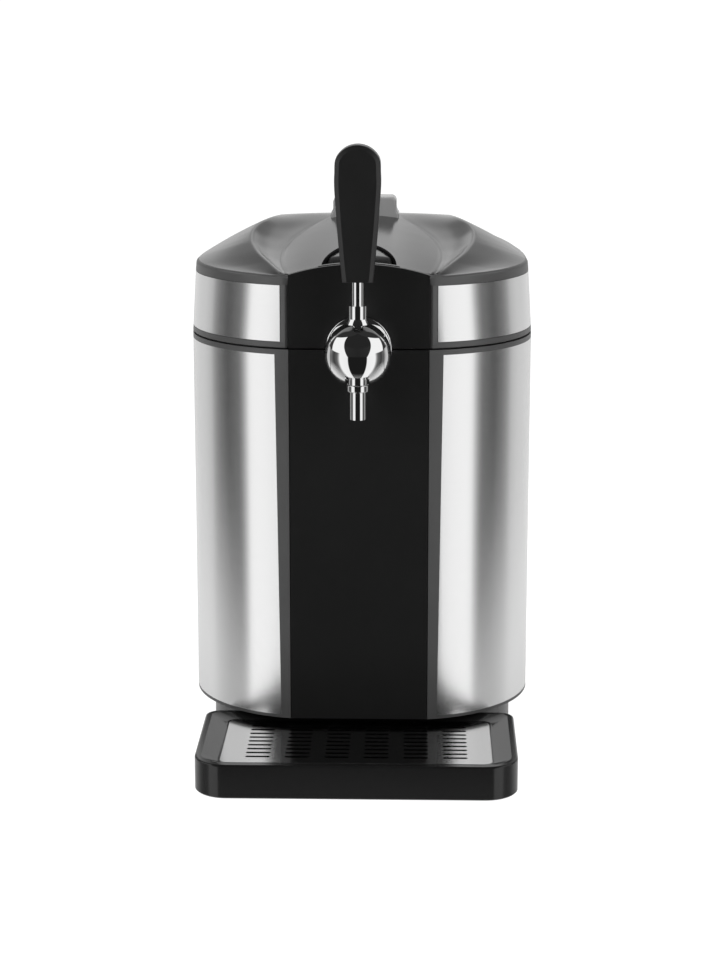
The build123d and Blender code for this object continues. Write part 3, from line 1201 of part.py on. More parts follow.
with BuildPart() as lid_hinge_leaf:
    block(-KNUCKLE_X - KNUCKLE_W / 2, KNUCKLE_X + KNUCKLE_W / 2, LID_REAR, LID_REAR + LEAF_T,
          HINGE_Z + KNUCKLE_R, LEAF_TOP)
    for side in (-1, 1):
        add(knuckle(side * KNUCKLE_X, KNUCKLE_W))
        with BuildSketch(flank(side * KNUCKLE_X)):
            with BuildLine():
                Polyline((LID_REAR, HINGE_Z), (HINGE_Y, HINGE_Z), (HINGE_Y, HINGE_Z + KNUCKLE_R),
                         (LID_REAR + LEAF_T, HINGE_Z + KNUCKLE_R + LEAF_T),
                         (LID_REAR, HINGE_Z + KNUCKLE_R + LEAF_T), close=True)
            make_face()
        extrude(amount=KNUCKLE_W / 2, both=True)
    add(knuckle(0, 2 * PIN_HALF + 2, HINGE_R + FIT), mode=Mode.SUBTRACT)
write(lid_hinge_leaf, "lid_hinge_leaf")
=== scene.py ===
import json
import math

import bmesh
import bpy
import numpy as np
from mathutils import Matrix, Vector


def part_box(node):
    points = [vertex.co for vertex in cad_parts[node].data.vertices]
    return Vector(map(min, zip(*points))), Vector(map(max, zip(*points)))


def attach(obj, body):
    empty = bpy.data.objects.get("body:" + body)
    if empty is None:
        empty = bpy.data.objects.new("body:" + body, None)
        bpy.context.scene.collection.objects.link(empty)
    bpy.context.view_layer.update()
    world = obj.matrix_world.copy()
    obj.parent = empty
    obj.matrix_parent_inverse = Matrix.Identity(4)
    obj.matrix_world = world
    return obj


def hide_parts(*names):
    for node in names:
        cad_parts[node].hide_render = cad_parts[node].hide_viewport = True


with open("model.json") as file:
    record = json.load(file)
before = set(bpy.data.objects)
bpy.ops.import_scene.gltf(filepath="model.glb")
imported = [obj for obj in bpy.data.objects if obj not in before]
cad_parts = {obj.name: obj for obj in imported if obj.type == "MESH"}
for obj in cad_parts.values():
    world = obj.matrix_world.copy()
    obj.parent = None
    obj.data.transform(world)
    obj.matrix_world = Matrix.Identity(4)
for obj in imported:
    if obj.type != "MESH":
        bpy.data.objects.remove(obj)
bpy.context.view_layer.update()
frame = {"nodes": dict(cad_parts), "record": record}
nodes = frame["nodes"]
scene = bpy.context.scene

MM = 0.001

# ---------------------------------------------------------------- places read from the frame
shell_low, shell_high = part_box("body_shell")
HALF = shell_high[0]                       # body's half width
BODY_FRONT = 100 * MM                      # widest plane to the flat front
WIDE_Y = shell_low[1] + BODY_FRONT         # the body's widest plane


# ---------------------------------------------------------------- shader helpers
class Nodes:
    """A node tree, with short calls for the nodes used here."""

    def __init__(self, tree):
        self.tree = tree

    def add(self, kind, **values):
        node = self.tree.nodes.new(kind)
        for key, value in values.items():
            setattr(node, key, value)
        return node

    def link(self, source, target):
        self.tree.links.new(source, target)

    def feed(self, socket, value):
        """Give a socket a number, a colour of three values, or another node's output."""
        if isinstance(value, (int, float)):
            socket.default_value = value
        elif isinstance(value, tuple):
            socket.default_value = (*value, 1)
        else:
            self.link(value, socket)

    def math(self, operation, *values):
        node = self.add("ShaderNodeMath", operation=operation)
        for socket, value in zip(node.inputs, values):
            self.feed(socket, value)
        return node.outputs[0]

    def step(self, value, low, high, start=0.0):
        """The start value below low, 1 above high, soft between."""
        node = self.add("ShaderNodeMapRange", interpolation_type="SMOOTHSTEP")
        for name, number in (("From Min", low), ("From Max", high), ("To Min", start)):
            node.inputs[name].default_value = number
        self.link(value, node.inputs["Value"])
        return node.outputs["Result"]

    def mix(self, share, first, second, blend="MIX"):
        """Mix of two colours."""
        node = self.add("ShaderNodeMix", data_type="RGBA", blend_type=blend)
        for socket, value in ((0, share), (6, first), (7, second)):
            self.feed(node.inputs[socket], value)
        return node.outputs[2]

    def mix_shader(self, share, first, second):
        node = self.add("ShaderNodeMixShader")
        for socket, value in zip(node.inputs, (share, first, second)):
            self.feed(socket, value)
        return node.outputs[0]


class Graph(Nodes):
    """A material's node tree."""

    def __init__(self, name):
        self.material = bpy.data.materials.new(name)
        self.material.use_nodes = True
        super().__init__(self.material.node_tree)
        self.shader = self.tree.nodes["Principled BSDF"]
        self.place = self.add("ShaderNodeTexCoord").outputs["Object"]

    def stretch(self, scale):
        mapping = self.add("ShaderNodeMapping")
        mapping.inputs["Scale"].default_value = scale
        self.link(self.place, mapping.inputs["Vector"])
        return mapping.outputs["Vector"]

    def noise(self, scale, detail=3.0, roughness=0.5, vector=None):
        node = self.add("ShaderNodeTexNoise")
        node.inputs["Scale"].default_value = scale
        node.inputs["Detail"].default_value = detail
        node.inputs["Roughness"].default_value = roughness
        self.link(vector or self.place, node.inputs["Vector"])
        return node.outputs["Fac"]

    def spread(self, value, low, high):
        node = self.add("ShaderNodeMapRange")
        node.inputs["To Min"].default_value = low
        node.inputs["To Max"].default_value = high
        self.link(value, node.inputs["Value"])
        return node.outputs["Result"]

    def bump(self, height, strength, distance):
        node = self.add("ShaderNodeBump")
        node.inputs["Strength"].default_value = strength
        node.inputs["Distance"].default_value = distance
        self.link(height, node.inputs["Height"])
        return node.outputs["Normal"]

    def tint(self, value, dark, light):
        """Base colour between two greys, or between two colours."""
        ends = [(end,) * 3 if isinstance(end, float) else end for end in (dark, light)]
        self.link(self.mix(value, *ends), self.shader.inputs["Base Color"])

    def set(self, **values):
        for key, value in values.items():
            self.shader.inputs[key.replace("_", " ")].default_value = value


GRAIN_DEPTH = 0.00008    # of moulded plastic's texture, in metres
BRUSH_DEPTH = 0.00005    # of the lines in metal


def plastic(name, dark, light, rough, grain=0.0006, strength=0.15):
    """Moulded plastic: fine spark texture, slow changes of gloss."""
    g = Graph(name)
    g.tint(g.noise(40, 2), dark, light)
    g.link(g.spread(g.noise(18, 3), rough - 0.04, rough + 0.05), g.shader.inputs["Roughness"])
    fine = g.noise(1 / grain, 2, 0.6)
    g.link(g.bump(fine, strength, GRAIN_DEPTH), g.shader.inputs["Normal"])
    g.set(IOR=1.5)
    return g.material


def metal(name, dark, light, rough, lines=None, strength=0.0, upright=0.0):
    """Metal; lines is the stretch of the brushing, and upright blurs its reflections up and down."""
    g = Graph(name)
    g.set(Metallic=1.0)
    vector = g.stretch(lines) if lines else None
    grain = g.noise(60 if lines else 25, 4, 0.6, vector)
    g.tint(grain, dark, light)
    g.link(g.spread(grain, rough * 0.8, rough * 1.25), g.shader.inputs["Roughness"])
    if strength:
        g.link(g.bump(grain, strength, BRUSH_DEPTH), g.shader.inputs["Normal"])
    if upright:
        g.set(Anisotropic=upright)
        g.shader.inputs["Anisotropic Rotation"].default_value = 0.25
        round_z = g.add("ShaderNodeTangent", direction_type="RADIAL", axis="Z")
        g.link(round_z.outputs[0], g.shader.inputs["Tangent"])
    return g.material


LOOKS = {
    "base_plastic": plastic("base_plastic", 0.045, 0.055, 0.22),
    "frame_plastic": plastic("frame_plastic", 0.05, 0.06, 0.36),
    "lid_plastic": plastic("lid_plastic", 0.009, 0.012, 0.16),
    "black_panel": plastic("black_panel", 0.008, 0.0095, 0.34, strength=0.08),
    "tray_plastic": plastic("tray_plastic", 0.006, 0.008, 0.14, strength=0.04),
    "grip_plastic": plastic("grip_plastic", 0.008, 0.011, 0.36),
    "silver_plastic": plastic("silver_plastic", 0.22, 0.26, 0.24),
    "circuit_board": plastic("circuit_board", (0.01, 0.07, 0.03), (0.015, 0.1, 0.04), 0.35),
    "ceramic": plastic("ceramic", 0.7, 0.78, 0.5),
    "hose": plastic("hose", 0.45, 0.52, 0.35),
    "rubber": plastic("rubber", 0.012, 0.018, 0.7),
    "foam": plastic("foam", 0.75, 0.85, 0.85, grain=0.004, strength=0.5),
    "brushed_steel": metal("brushed_steel", 0.84, 0.94, 0.2, (1, 1, 60), 0.12, 0.85),
    "grille_steel": metal("grille_steel", 0.54, 0.62, 0.14, (30, 1, 1), 0.08),
    "screw_steel": metal("screw_steel", 0.42, 0.5, 0.32),
    "liner_aluminium": metal("liner_aluminium", 0.6, 0.68, 0.4),
    "chrome": metal("chrome", 0.86, 0.9, 0.02),
}
SLOT_OF = {row["node"]: row["material_slot"] for row in frame["record"]["subparts"]}
for name, part in nodes.items():
    part.data.materials.clear()
    part.data.materials.append(LOOKS[SLOT_OF[name]])


# ---------------------------------------------------------------- lid shell
# All lengths here are in millimetres, and y is measured from the body's widest plane.
SEAM = 332.0             # the lid's lower edge
LEAN = 0.06              # the walls lean in by this share of the height
WALL = 3.3
FRONT = 100.0            # widest plane to the flat front
FRONT_EDGE = 55.0        # half width of the flat front
LID_REAR = 192.0         # widest plane to the rear
CORNER = 60.0            # radius of the rear corners
EDGE_R = 2.2             # rounding of the lid's rim
BULGE = (-1.6, 1.2)      # the lid's outer slopes: hollow near the front, swollen behind
GROOVE = 0.85            # fine hollow round the dome's foot
# y, rim z, crest x and z, crease x and z, spine z, hollow of the scoop, with heights above the seam
SECTIONS = np.array((
    (-104, 57.4, 57.0, 57.6, 53.5, 57.2, 65.4, 0.12),
    (-70, 57.4, 69.4, 62.0, 60.0, 59.0, 68.8, 0.12),
    (-35, 57.4, 82.0, 66.9, 63.6, 61.4, 72.2, 0.12),
    (0, 57.4, 89.6, 71.6, 63.4, 64.6, 75.4, 0.12),
    (35, 55.4, 91.6, 76.2, 58.5, 68.8, 78.4, 0.11),
    (65, 53.2, 87.5, 79.6, 47.5, 74.0, 80.8, 0.09),
    (92, 50.4, 78.4, 81.0, 32.0, 79.6, 82.6, 0.04),
    (116, 48.4, 73.0, 79.9, 26.0, 81.6, 82.0, -0.01),
    (150, 45.6, 72.0, 76.0, 27.0, 77.8, 78.2, 0.0),
    (176, 45.2, 74.0, 69.0, 30.0, 69.8, 70.8, 0.0),
    (194, 45.2, 78.0, 59.4, 34.0, 59.6, 60.4, 0.0),
))
BAND_DROP = 8.4          # bands' top edge below the rim
GRID_FRONT, GRID_REAR, GRID_SIDE = -108, 201, 160      # limits of the lid's heights, on a 1 mm grid
BULGE_Y = (-60, 15)      # over which the outer slopes turn from hollow to swollen
SLOPE_MIN = 4            # least width of an outer slope
SECTION_BLUR = 7         # how far the sections run into each other
CREASE_BLUR = (0.8, 1.4)     # softness of the creases, across and along the lid
GROOVE_OUT, GROOVE_WIDTH = 1.2, 1.3      # the groove's middle beside the crease, and its width
FULL_DIP = 0.09          # hollow of the scoop from which the groove has its full depth


def rim_at(y):
    return SEAM + np.interp(y, SECTIONS[:, 0], SECTIONS[:, 1])


def half_at(z):
    return HALF / MM - LEAN * (z - SEAM)


def arc_radius(half):
    """Radius of the outline's front arc, from the flat front's edge to the widest plane."""
    rise = half - FRONT_EDGE
    return (rise ** 2 + FRONT ** 2) / (2 * rise)


def outline(part, share, z, inset=0.0):
    """Right half of the lid's outline; part 0 is its front arc, 1 its side, 2 its rear corner."""
    half = half_at(z)
    radius = arc_radius(half)
    centre = half - radius
    if part == 0:
        start = math.asin((FRONT - inset) / (radius - inset))
        angle = start * (1 - share)
        return centre + (radius - inset) * math.cos(angle), -(radius - inset) * math.sin(angle)
    if part == 1:
        return half - inset, share * (LID_REAR - CORNER)
    angle = share * math.pi / 2
    return (half - CORNER + (CORNER - inset) * math.cos(angle),
            LID_REAR - CORNER + (CORNER - inset) * math.sin(angle))


def blur(grid, sigma, axis):
    """Gaussian blur along one axis; the ends carry on in a straight line."""
    reach = int(math.ceil(3 * sigma))
    steps = np.arange(-reach, reach + 1)
    weights = np.exp(-0.5 * (steps / sigma) ** 2)
    weights /= weights.sum()
    grid = np.moveaxis(grid, axis, 0)
    ahead = 2 * grid[:1] - grid[reach:0:-1]
    after = 2 * grid[-1:] - grid[-2:-reach - 2:-1]
    padded = np.concatenate((ahead, grid, after))
    blurred = sum(w * padded[i:i + len(grid)] for i, w in enumerate(weights))
    return np.moveaxis(blurred, 0, axis)


def lid_heights():
    """Height of the lid's top on a 1 mm grid: outer slopes, scoops and dome, with soft creases."""
    ys = np.arange(GRID_FRONT, GRID_REAR, 1.0)
    xs = np.arange(0, GRID_SIDE, 1.0)
    rows = np.stack([np.interp(ys, SECTIONS[:, 0], SECTIONS[:, i]) for i in range(1, 8)], axis=1)
    rows[:, 1:] = blur(rows[:, 1:], SECTION_BLUR, 0)
    grid = np.zeros((len(ys), len(xs)))
    for i, (y, (rim, crest_x, crest_z, crease_x, crease_z, spine, dip)) in enumerate(zip(ys, rows)):
        half = half_at(SEAM + rim)
        radius = arc_radius(half)
        edge = half if y > 0 else half - radius + math.sqrt(max(radius ** 2 - y ** 2, 0))
        edge = max(edge, crest_x + SLOPE_MIN)
        slope = crest_z - (crest_z - rim) / (edge - crest_x) * (xs - crest_x)
        run = np.clip((xs - crest_x) / (edge - crest_x), 0, 1)
        slope = slope + 4 * np.interp(y, BULGE_Y, BULGE) * run * (1 - run)
        t = np.clip((xs - crease_x) / (crest_x - crease_x), 0, 1)
        scoop = crease_z + (crest_z - crease_z) * t - 4 * dip * (crest_x - crease_x) * t * (1 - t)
        bow = spine - crease_z
        round_r = (crease_x ** 2 + bow ** 2) / (2 * bow)
        dome = spine - round_r + np.sqrt(np.maximum(round_r ** 2 - np.minimum(xs, crease_x) ** 2, 0))
        groove = GROOVE * np.exp(-((xs - crease_x - GROOVE_OUT) / GROOVE_WIDTH) ** 2)
        groove = groove * np.clip(dip / FULL_DIP, 0, 1)
        grid[i] = SEAM + np.where(xs > crest_x, slope, np.where(xs > crease_x, scoop, dome)) - groove
    grid = np.concatenate((grid[:, :0:-1], grid), axis=1)
    return blur(blur(grid, CREASE_BLUR[0], 1), CREASE_BLUR[1], 0)


HEIGHTS = lid_heights()


def top_at(x, y):
    """Height of the lid's top, between the grid's points."""
    u = min(max(x + (GRID_SIDE - 1), 0), HEIGHTS.shape[1] - 1.001)
    v = min(max(y - GRID_FRONT, 0), HEIGHTS.shape[0] - 1.001)
    i, j = int(v), int(u)
    fv, fu = v - i, u - j
    return ((1 - fv) * ((1 - fu) * HEIGHTS[i, j] + fu * HEIGHTS[i, j + 1])
            + fv * ((1 - fu) * HEIGHTS[i + 1, j] + fu * HEIGHTS[i + 1, j + 1]))


def place(x, y, z):
    """A point of the lid, from millimetres and the widest plane to the frame."""
    return x * MM, y * MM + WIDE_Y, z * MM


def finished(mesh_maker, name, slot, angle):
    """Object from a bmesh, shaded smooth except over sharp edges."""
    mesh = bpy.data.meshes.new(name)
    bmesh.ops.recalc_face_normals(mesh_maker, faces=mesh_maker.faces)
    mesh_maker.to_mesh(mesh)
    mesh_maker.free()
    obj = bpy.data.objects.new(name, mesh)
    scene.collection.objects.link(obj)
    mesh.polygons.foreach_set("use_smooth", [True] * len(mesh.polygons))
    mesh.set_sharp_from_angle(angle=math.radians(angle))
    mesh.materials.append(LOOKS[slot])
    return obj


def join(bm, first, second):
    """Faces between two closed loops of the same length."""
    for i in range(len(first)):
        j = (i + 1) % len(first)
        bm.faces.new((first[i], first[j], second[j], second[i]))


def cover(bm, grid, left_out=lambda vert: False):
    """Faces over a grid of points, without those whose corners are all left out."""
    for near, far in zip(grid, grid[1:]):
        for j in range(len(near) - 1):
            quad = (near[j], near[j + 1], far[j + 1], far[j])
            if not all(left_out(vert) for vert in quad):
                bm.faces.new(quad)


def border(grid):
    """A grid's edge as one closed loop: first row, right side, last row, left side."""
    return (grid[0] + [row[-1] for row in grid[1:]] + grid[-1][-2::-1]
            + [row[0] for row in grid[-2:0:-1]])


def lid_shell_skin():
    """Outer skin of the lid: top with its pocket, rounded rim, walls with the bands' recesses."""
    band_low, band_gap, band_deep = SEAM + 5.0, 0.35, 1.0
    band_front, band_rear = 61.5, 116.0
    pocket_x, pocket_y, pocket_front = 31.5, 71.0, -96.5      # half an ellipse, open to the front
    pocket_in, pocket_step = 0.4, 0.5      # the skin reaches this far into the pocket's edges
    panel_deep = 2.6         # the front wall lies this far back, behind the front panel
    lip_deep, lip_half = 0.9, 32      # strip in front of the button
    near_rim = SEAM + 57     # height at which the rim is looked up
    hair = 0.01              # height of the step at a recess's edge
    foot_edge, inner_rise = 0.6, 12      # chamfer at the foot, and how far the inside is followed up
    # stations down the right side: front arc, straight side, rear corner
    stations = [(0, i / 56) for i in range(57)]
    stations += [(1, i / 52) for i in range(1, 53)]
    stations += [(2, i / 26) for i in range(1, 27)]
    shares = [i / 100 for i in range(-100, 101)]      # columns, from left to right
    rims = [rim_at(outline(part, share, near_rim, EDGE_R)[1]) for part, share in stations]
    inset_points = [outline(part, share, rim, EDGE_R) for (part, share), rim in zip(stations, rims)]
    inset_points = [(x, max(y, -FRONT + EDGE_R)) for x, y in inset_points]
    bm = bmesh.new()
    grid = []
    for x, y in inset_points:
        grid.append([bm.verts.new(place(x * share, y, top_at(x * share, y))) for share in shares])

    def in_pocket(vert):
        x = vert.co.x / MM
        y = (vert.co.y - WIDE_Y) / MM
        across = x / (pocket_x - pocket_in)
        along = (y - pocket_front) / (pocket_y - pocket_in)
        return y > pocket_front + pocket_step and across ** 2 + along ** 2 < 1

    cover(bm, grid, in_pocket)
    # loop round the rim: front row, right column, rear row, left column
    loop = border(grid)
    tags = [("front", share * FRONT_EDGE) for share in shares]
    tags += [(1, station) for station in stations[1:]]
    tags += [("rear", share) for share in shares[-2::-1]]
    tags += [(-1, station) for station in stations[-2:0:-1]]

    def wall_point(tag, z, inset):
        kind, value = tag
        if kind == "front":
            return value, -FRONT + inset
        if kind == "rear":
            return value * (half_at(z) - CORNER), LID_REAR - inset
        x, y = outline(value[0], value[1], z, inset)
        return kind * x, y

    def in_band(tag):
        kind, value = tag
        if kind in ("front", "rear"):
            return False
        x, y = outline(value[0], value[1], band_low)
        return x > band_front - band_gap and y < band_rear + band_gap

    rim_heights = [rim_at(wall_point(tag, near_rim, EDGE_R)[1]) for tag in tags]
    # kind of height, its value, and whether the ring lies in the bands' recess
    levels = [("round", math.radians(turn), False) for turn in (20, 45, 70, 90)]
    levels += [("below rim", band_gap + hair, False), ("below rim", band_gap - hair, True),
               ("middle", 0.0, True), ("flat", band_low - band_gap + hair, True),
               ("flat", band_low - band_gap - hair, False), ("flat", SEAM + foot_edge, False)]
    previous = loop
    for kind, value, recessed in levels:
        ring = []
        for tag, rim in zip(tags, rim_heights):
            if kind == "round":
                x, y = wall_point(tag, rim, EDGE_R * (1 - math.sin(value)))
                z = top_at(x, y) - EDGE_R * (1 - math.cos(value))
            else:
                top = rim - BAND_DROP
                z = {"below rim": top + value, "middle": (top + band_low) / 2, "flat": value}[kind]
                inset = band_deep if recessed and in_band(tag) else 0.0
                if tag[0] == "front":
                    inset = panel_deep
                x, y = wall_point(tag, z, inset)
            ring.append(bm.verts.new(place(x, y, z)))
        join(bm, previous, ring)
        previous = ring
    for z, inset in ((SEAM, foot_edge), (SEAM, WALL), (SEAM + inner_rise, WALL)):
        ring = []
        for tag in tags:
            deep = inset + (panel_deep if tag[0] == "front" else 0)
            ring.append(bm.verts.new(place(*wall_point(tag, z, deep), z)))
        join(bm, previous, ring)
        previous = ring
    top_points = len(grid) * len(shares)
    shell = finished(bm, "lid_shell_skin", "lid_plastic", 35)
    shell.data.materials.append(LOOKS["frame_plastic"])
    shell.data.materials.append(LOOKS["black_panel"])
    for face in shell.data.polygons:
        if max(face.vertices) >= top_points:      # rim and walls, not the top
            face.material_index = 1
        in_front = face.center.y < WIDE_Y + (pocket_front + lip_deep) * MM
        if in_front and abs(face.center.x) < lip_half * MM:
            face.material_index = 2               # this lip belongs to the button's black bezel
    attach(shell, "lid")
    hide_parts("lid_shell")


lid_shell_skin()


def release_button():
    """Button in the dome's front: it follows the dome, and dips at its front edge for the finger."""
    tip, front, centre = -30.0, -78.4, -96.5      # ends of the button, and the middle of its ellipse
    half_x, half_y = 27.6, 67.0
    low, below = SEAM + 55.0, 1.45                # the foot, and the depth under the dome's surface
    dip_deep, dip_from, dip_long = 7.0, -62, 15
    edge_drop, edge_power = 0.8, 24               # rounding of the side edges
    rows, middle = 36, 12                         # steps along, and from the middle to a side
    pusher_size, pusher_y = (6, 4, 12.1), -72
    pin_radius, pin_long, pin_y, pin_z = 2, 34, -40, SEAM + 61
    bm = bmesh.new()
    grid = []
    for i in range(rows + 1):
        y = front + (tip - front) * i / rows
        half = half_x * math.sqrt(1 - ((y - centre) / half_y) ** 2)
        dip = dip_deep * max(0.0, min(1.0, (dip_from - y) / dip_long)) ** 1.5
        row = []
        for j in range(2 * middle + 1):
            x = half * (j - middle) / middle
            edge = edge_drop * abs((j - middle) / middle) ** edge_power
            row.append(bm.verts.new(place(x, y, top_at(x, y) - below - dip - edge)))
        grid.append(row)
    cover(bm, grid)
    loop = border(grid)
    foot = [bm.verts.new((v.co.x, v.co.y, low * MM)) for v in loop]
    join(bm, loop, foot)
    bm.faces.new(foot)
    pusher = bmesh.ops.create_cube(bm, size=MM)["verts"]
    bmesh.ops.scale(bm, vec=pusher_size, verts=pusher)
    bmesh.ops.translate(bm, vec=place(0, pusher_y, low - pusher_size[2] / 2), verts=pusher)
    pin = bmesh.ops.create_cone(bm, cap_ends=True, segments=24, radius1=pin_radius * MM,
                                radius2=pin_radius * MM, depth=pin_long * MM)["verts"]
    bmesh.ops.rotate(bm, verts=pin, matrix=Matrix.Rotation(math.pi / 2, 3, "Y"))
    bmesh.ops.translate(bm, vec=place(0, pin_y, pin_z), verts=pin)
    button = finished(bm, "button_top", "lid_plastic", 35)
    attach(button, "release_button")
    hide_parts("release_button")


release_button()


def lid_block():
    """Finger block on the lid's crown: rounded on top, with a fine flare where it meets the lid."""
    half, top, low, flare, corner = 26.8, 429.6, SEAM + 70, 2.2, 4.5
    front, rear, edge = 90.1, 115.9, 1.8
    # right side: share of the flare and height above the seam, then the top corner
    side = ((1, 70), (1, 83.2), (0.5, 84.6), (0.15, 86.4), (0, 88.5))
    profile = [(half + share * flare, SEAM + up) for share, up in side]
    profile += [(half - corner + corner * math.cos(a), top - corner + corner * math.sin(a))
                for a in np.linspace(0, math.pi / 2, 9)]
    profile += [(-x, z) for x, z in profile[::-1]]
    rings = []
    for turn in (90, 68, 45, 22, 0):
        inset = edge * (1 - math.cos(math.radians(turn)))
        rings.append((inset, front + edge * (1 - math.sin(math.radians(turn)))))
    rings += [(inset, front + rear - y) for inset, y in rings[::-1]]
    bm = bmesh.new()
    loops = []
    for inset, y in rings:
        narrow, sink = (half - inset) / half, inset / (top - low)
        loops.append([bm.verts.new(place(x * narrow, y, z - sink * (z - low))) for x, z in profile])
    for first, second in zip(loops, loops[1:]):
        join(bm, first, second)
    bm.faces.new(loops[0])
    bm.faces.new(loops[-1])
    cap = finished(bm, "lid_finger_block", "silver_plastic", 30)
    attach(cap, "lid")
    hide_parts("lid_grip")


lid_block()


def lever_grip():
    """Paddle-shaped handle: its front and back are framed by a shallow bevel."""
    low, wide, top = 388.4, 470.0, 492.1
    # inset and y of each ring, from the back face to the front face
    bevels = ((3.4, -9.45), (0.5, -8.0), (0.12, -7.6), (0, -7.0),
              (0, 7.0), (0.12, 7.6), (0.5, 8.0), (3.4, 9.45))
    nick, least = 0.5, 0.02      # most that the foot rises with the inset, and least half width
    knots = np.array(((11.8, low), (13.95, 411.2), (16.4, 442.3), (17.5, wide), (16.0, 482.8),
                      (9.07, 489.7), (0, top)))
    lengths = np.concatenate(((0,), np.cumsum(np.hypot(*np.diff(knots, axis=0).T))))
    tangents = np.gradient(knots, lengths, axis=0)
    tangents[0], tangents[-1] = (0.1, 1), (-1, 0)
    right = []
    for i in range(len(knots) - 1):
        span = lengths[i + 1] - lengths[i]
        for t in np.arange(0, 1, 0.08 if i < 3 else 0.05):
            leave, enter = t ** 3 - 2 * t ** 2 + t, t ** 3 - t ** 2
            right.append((2 * t ** 3 - 3 * t ** 2 + 1) * knots[i] + leave * span * tangents[i]
                         + (3 * t ** 2 - 2 * t ** 3) * knots[i + 1] + enter * span * tangents[i + 1])
    right = np.array(right)
    steps = np.gradient(right, axis=0)
    inward = np.stack((-steps[:, 1], steps[:, 0]), axis=1) / np.hypot(*steps.T)[:, None]
    grip_low, grip_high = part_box("lever_grip")
    tap_y = (grip_low.y + grip_high.y) / 2 / MM
    bm = bmesh.new()
    rings = []
    for inset, y in bevels:
        side = right + inward * inset
        side[:, 0] = np.maximum(side[:, 0], least)
        side[:, 1] = np.minimum(side[:, 1], top - inset)
        side[0, 1] = low + min(inset, nick)
        ring = [bm.verts.new((x * MM, (tap_y + y) * MM, z * MM)) for x, z in side]
        ring.append(bm.verts.new((0, (tap_y + y) * MM, (top - inset) * MM)))
        ring += [bm.verts.new((-x * MM, (tap_y + y) * MM, z * MM)) for x, z in side[::-1]]
        rings.append(ring)
    for first, second in zip(rings, rings[1:]):
        join(bm, first, second)
    bm.faces.new(rings[0])
    bm.faces.new(rings[-1])
    grip = finished(bm, "grip_paddle", "grip_plastic", 14)
    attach(grip, "tap_lever")
    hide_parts("lever_grip")


lever_grip()

# ---------------------------------------------------------------- stage, light and camera
# What gloss sees, as (degrees, grey). The first four tables go by compass angle, 0 in front and 180
# behind: level and below, the raised soft boxes beside, and the back near level and high up. The last
# one goes by height and changes the back's light from level to the zenith.
LOW_STUDIO = ((0, 0.012), (32, 0.012), (34, 0.95), (60, 1.0), (64, 0.95), (68, 0.45), (74, 0.14),
              (89, 0.05), (100, 0.15), (108, 0.3), (114, 0.52), (125, 0.62), (150, 0.7), (180, 0.76))
SOFT_BOX = ((0, 0.02), (34.5, 0.02), (36, 1.0), (96, 1.0), (98, 0.04), (180, 0.04))
LOW_BACK = ((0, 0.02), (122, 0.04), (132, 0.4), (158, 0.6), (168.5, 1.05), (170.5, 0.78), (175, 0.76),
            (177.5, 0.98), (180, 0.98))
HIGH_BACK = ((0, 0.02), (122, 0.04), (132, 0.4), (158, 0.35), (166, 0.45), (171, 0.6),
             (174, 1.0), (180, 1.0))
BACK_BY_HEIGHT = ((0, 0.95), (30, 1.05), (36, 0.8), (45, 0.5), (62, 0.4), (68, 0.06))
BOX_LEAN_FROM, BOX_LEAN = 3, 0.7      # height from which the soft boxes lean back, and how much
BOX_SLANT, BOX_TOP = 0.65, (109, 111)      # their top edge falls with the compass angle
BOX_FOOT = (1, 3)        # heights at which the raised light starts, in front
SIDE_FOOT = (8, 10)      # and beside and behind
BACK_FOOT = (-3, 0)      # height at which the back's light starts
BACK_CHANGE = (17, 23)   # heights between which the low back gives way to the high one
SIDE_TURN = (60 / 180, 64 / 180)      # compass angles as shares of 180 degrees: where the side starts
BACK_TURN = (126 / 180, 136 / 180)    # and where the back starts
BOX_DARK = (0.03,) * 3   # above the soft boxes
FILL = 0.45              # strength of the sky that lights matt surfaces
WHITE = (1, 1, 1)


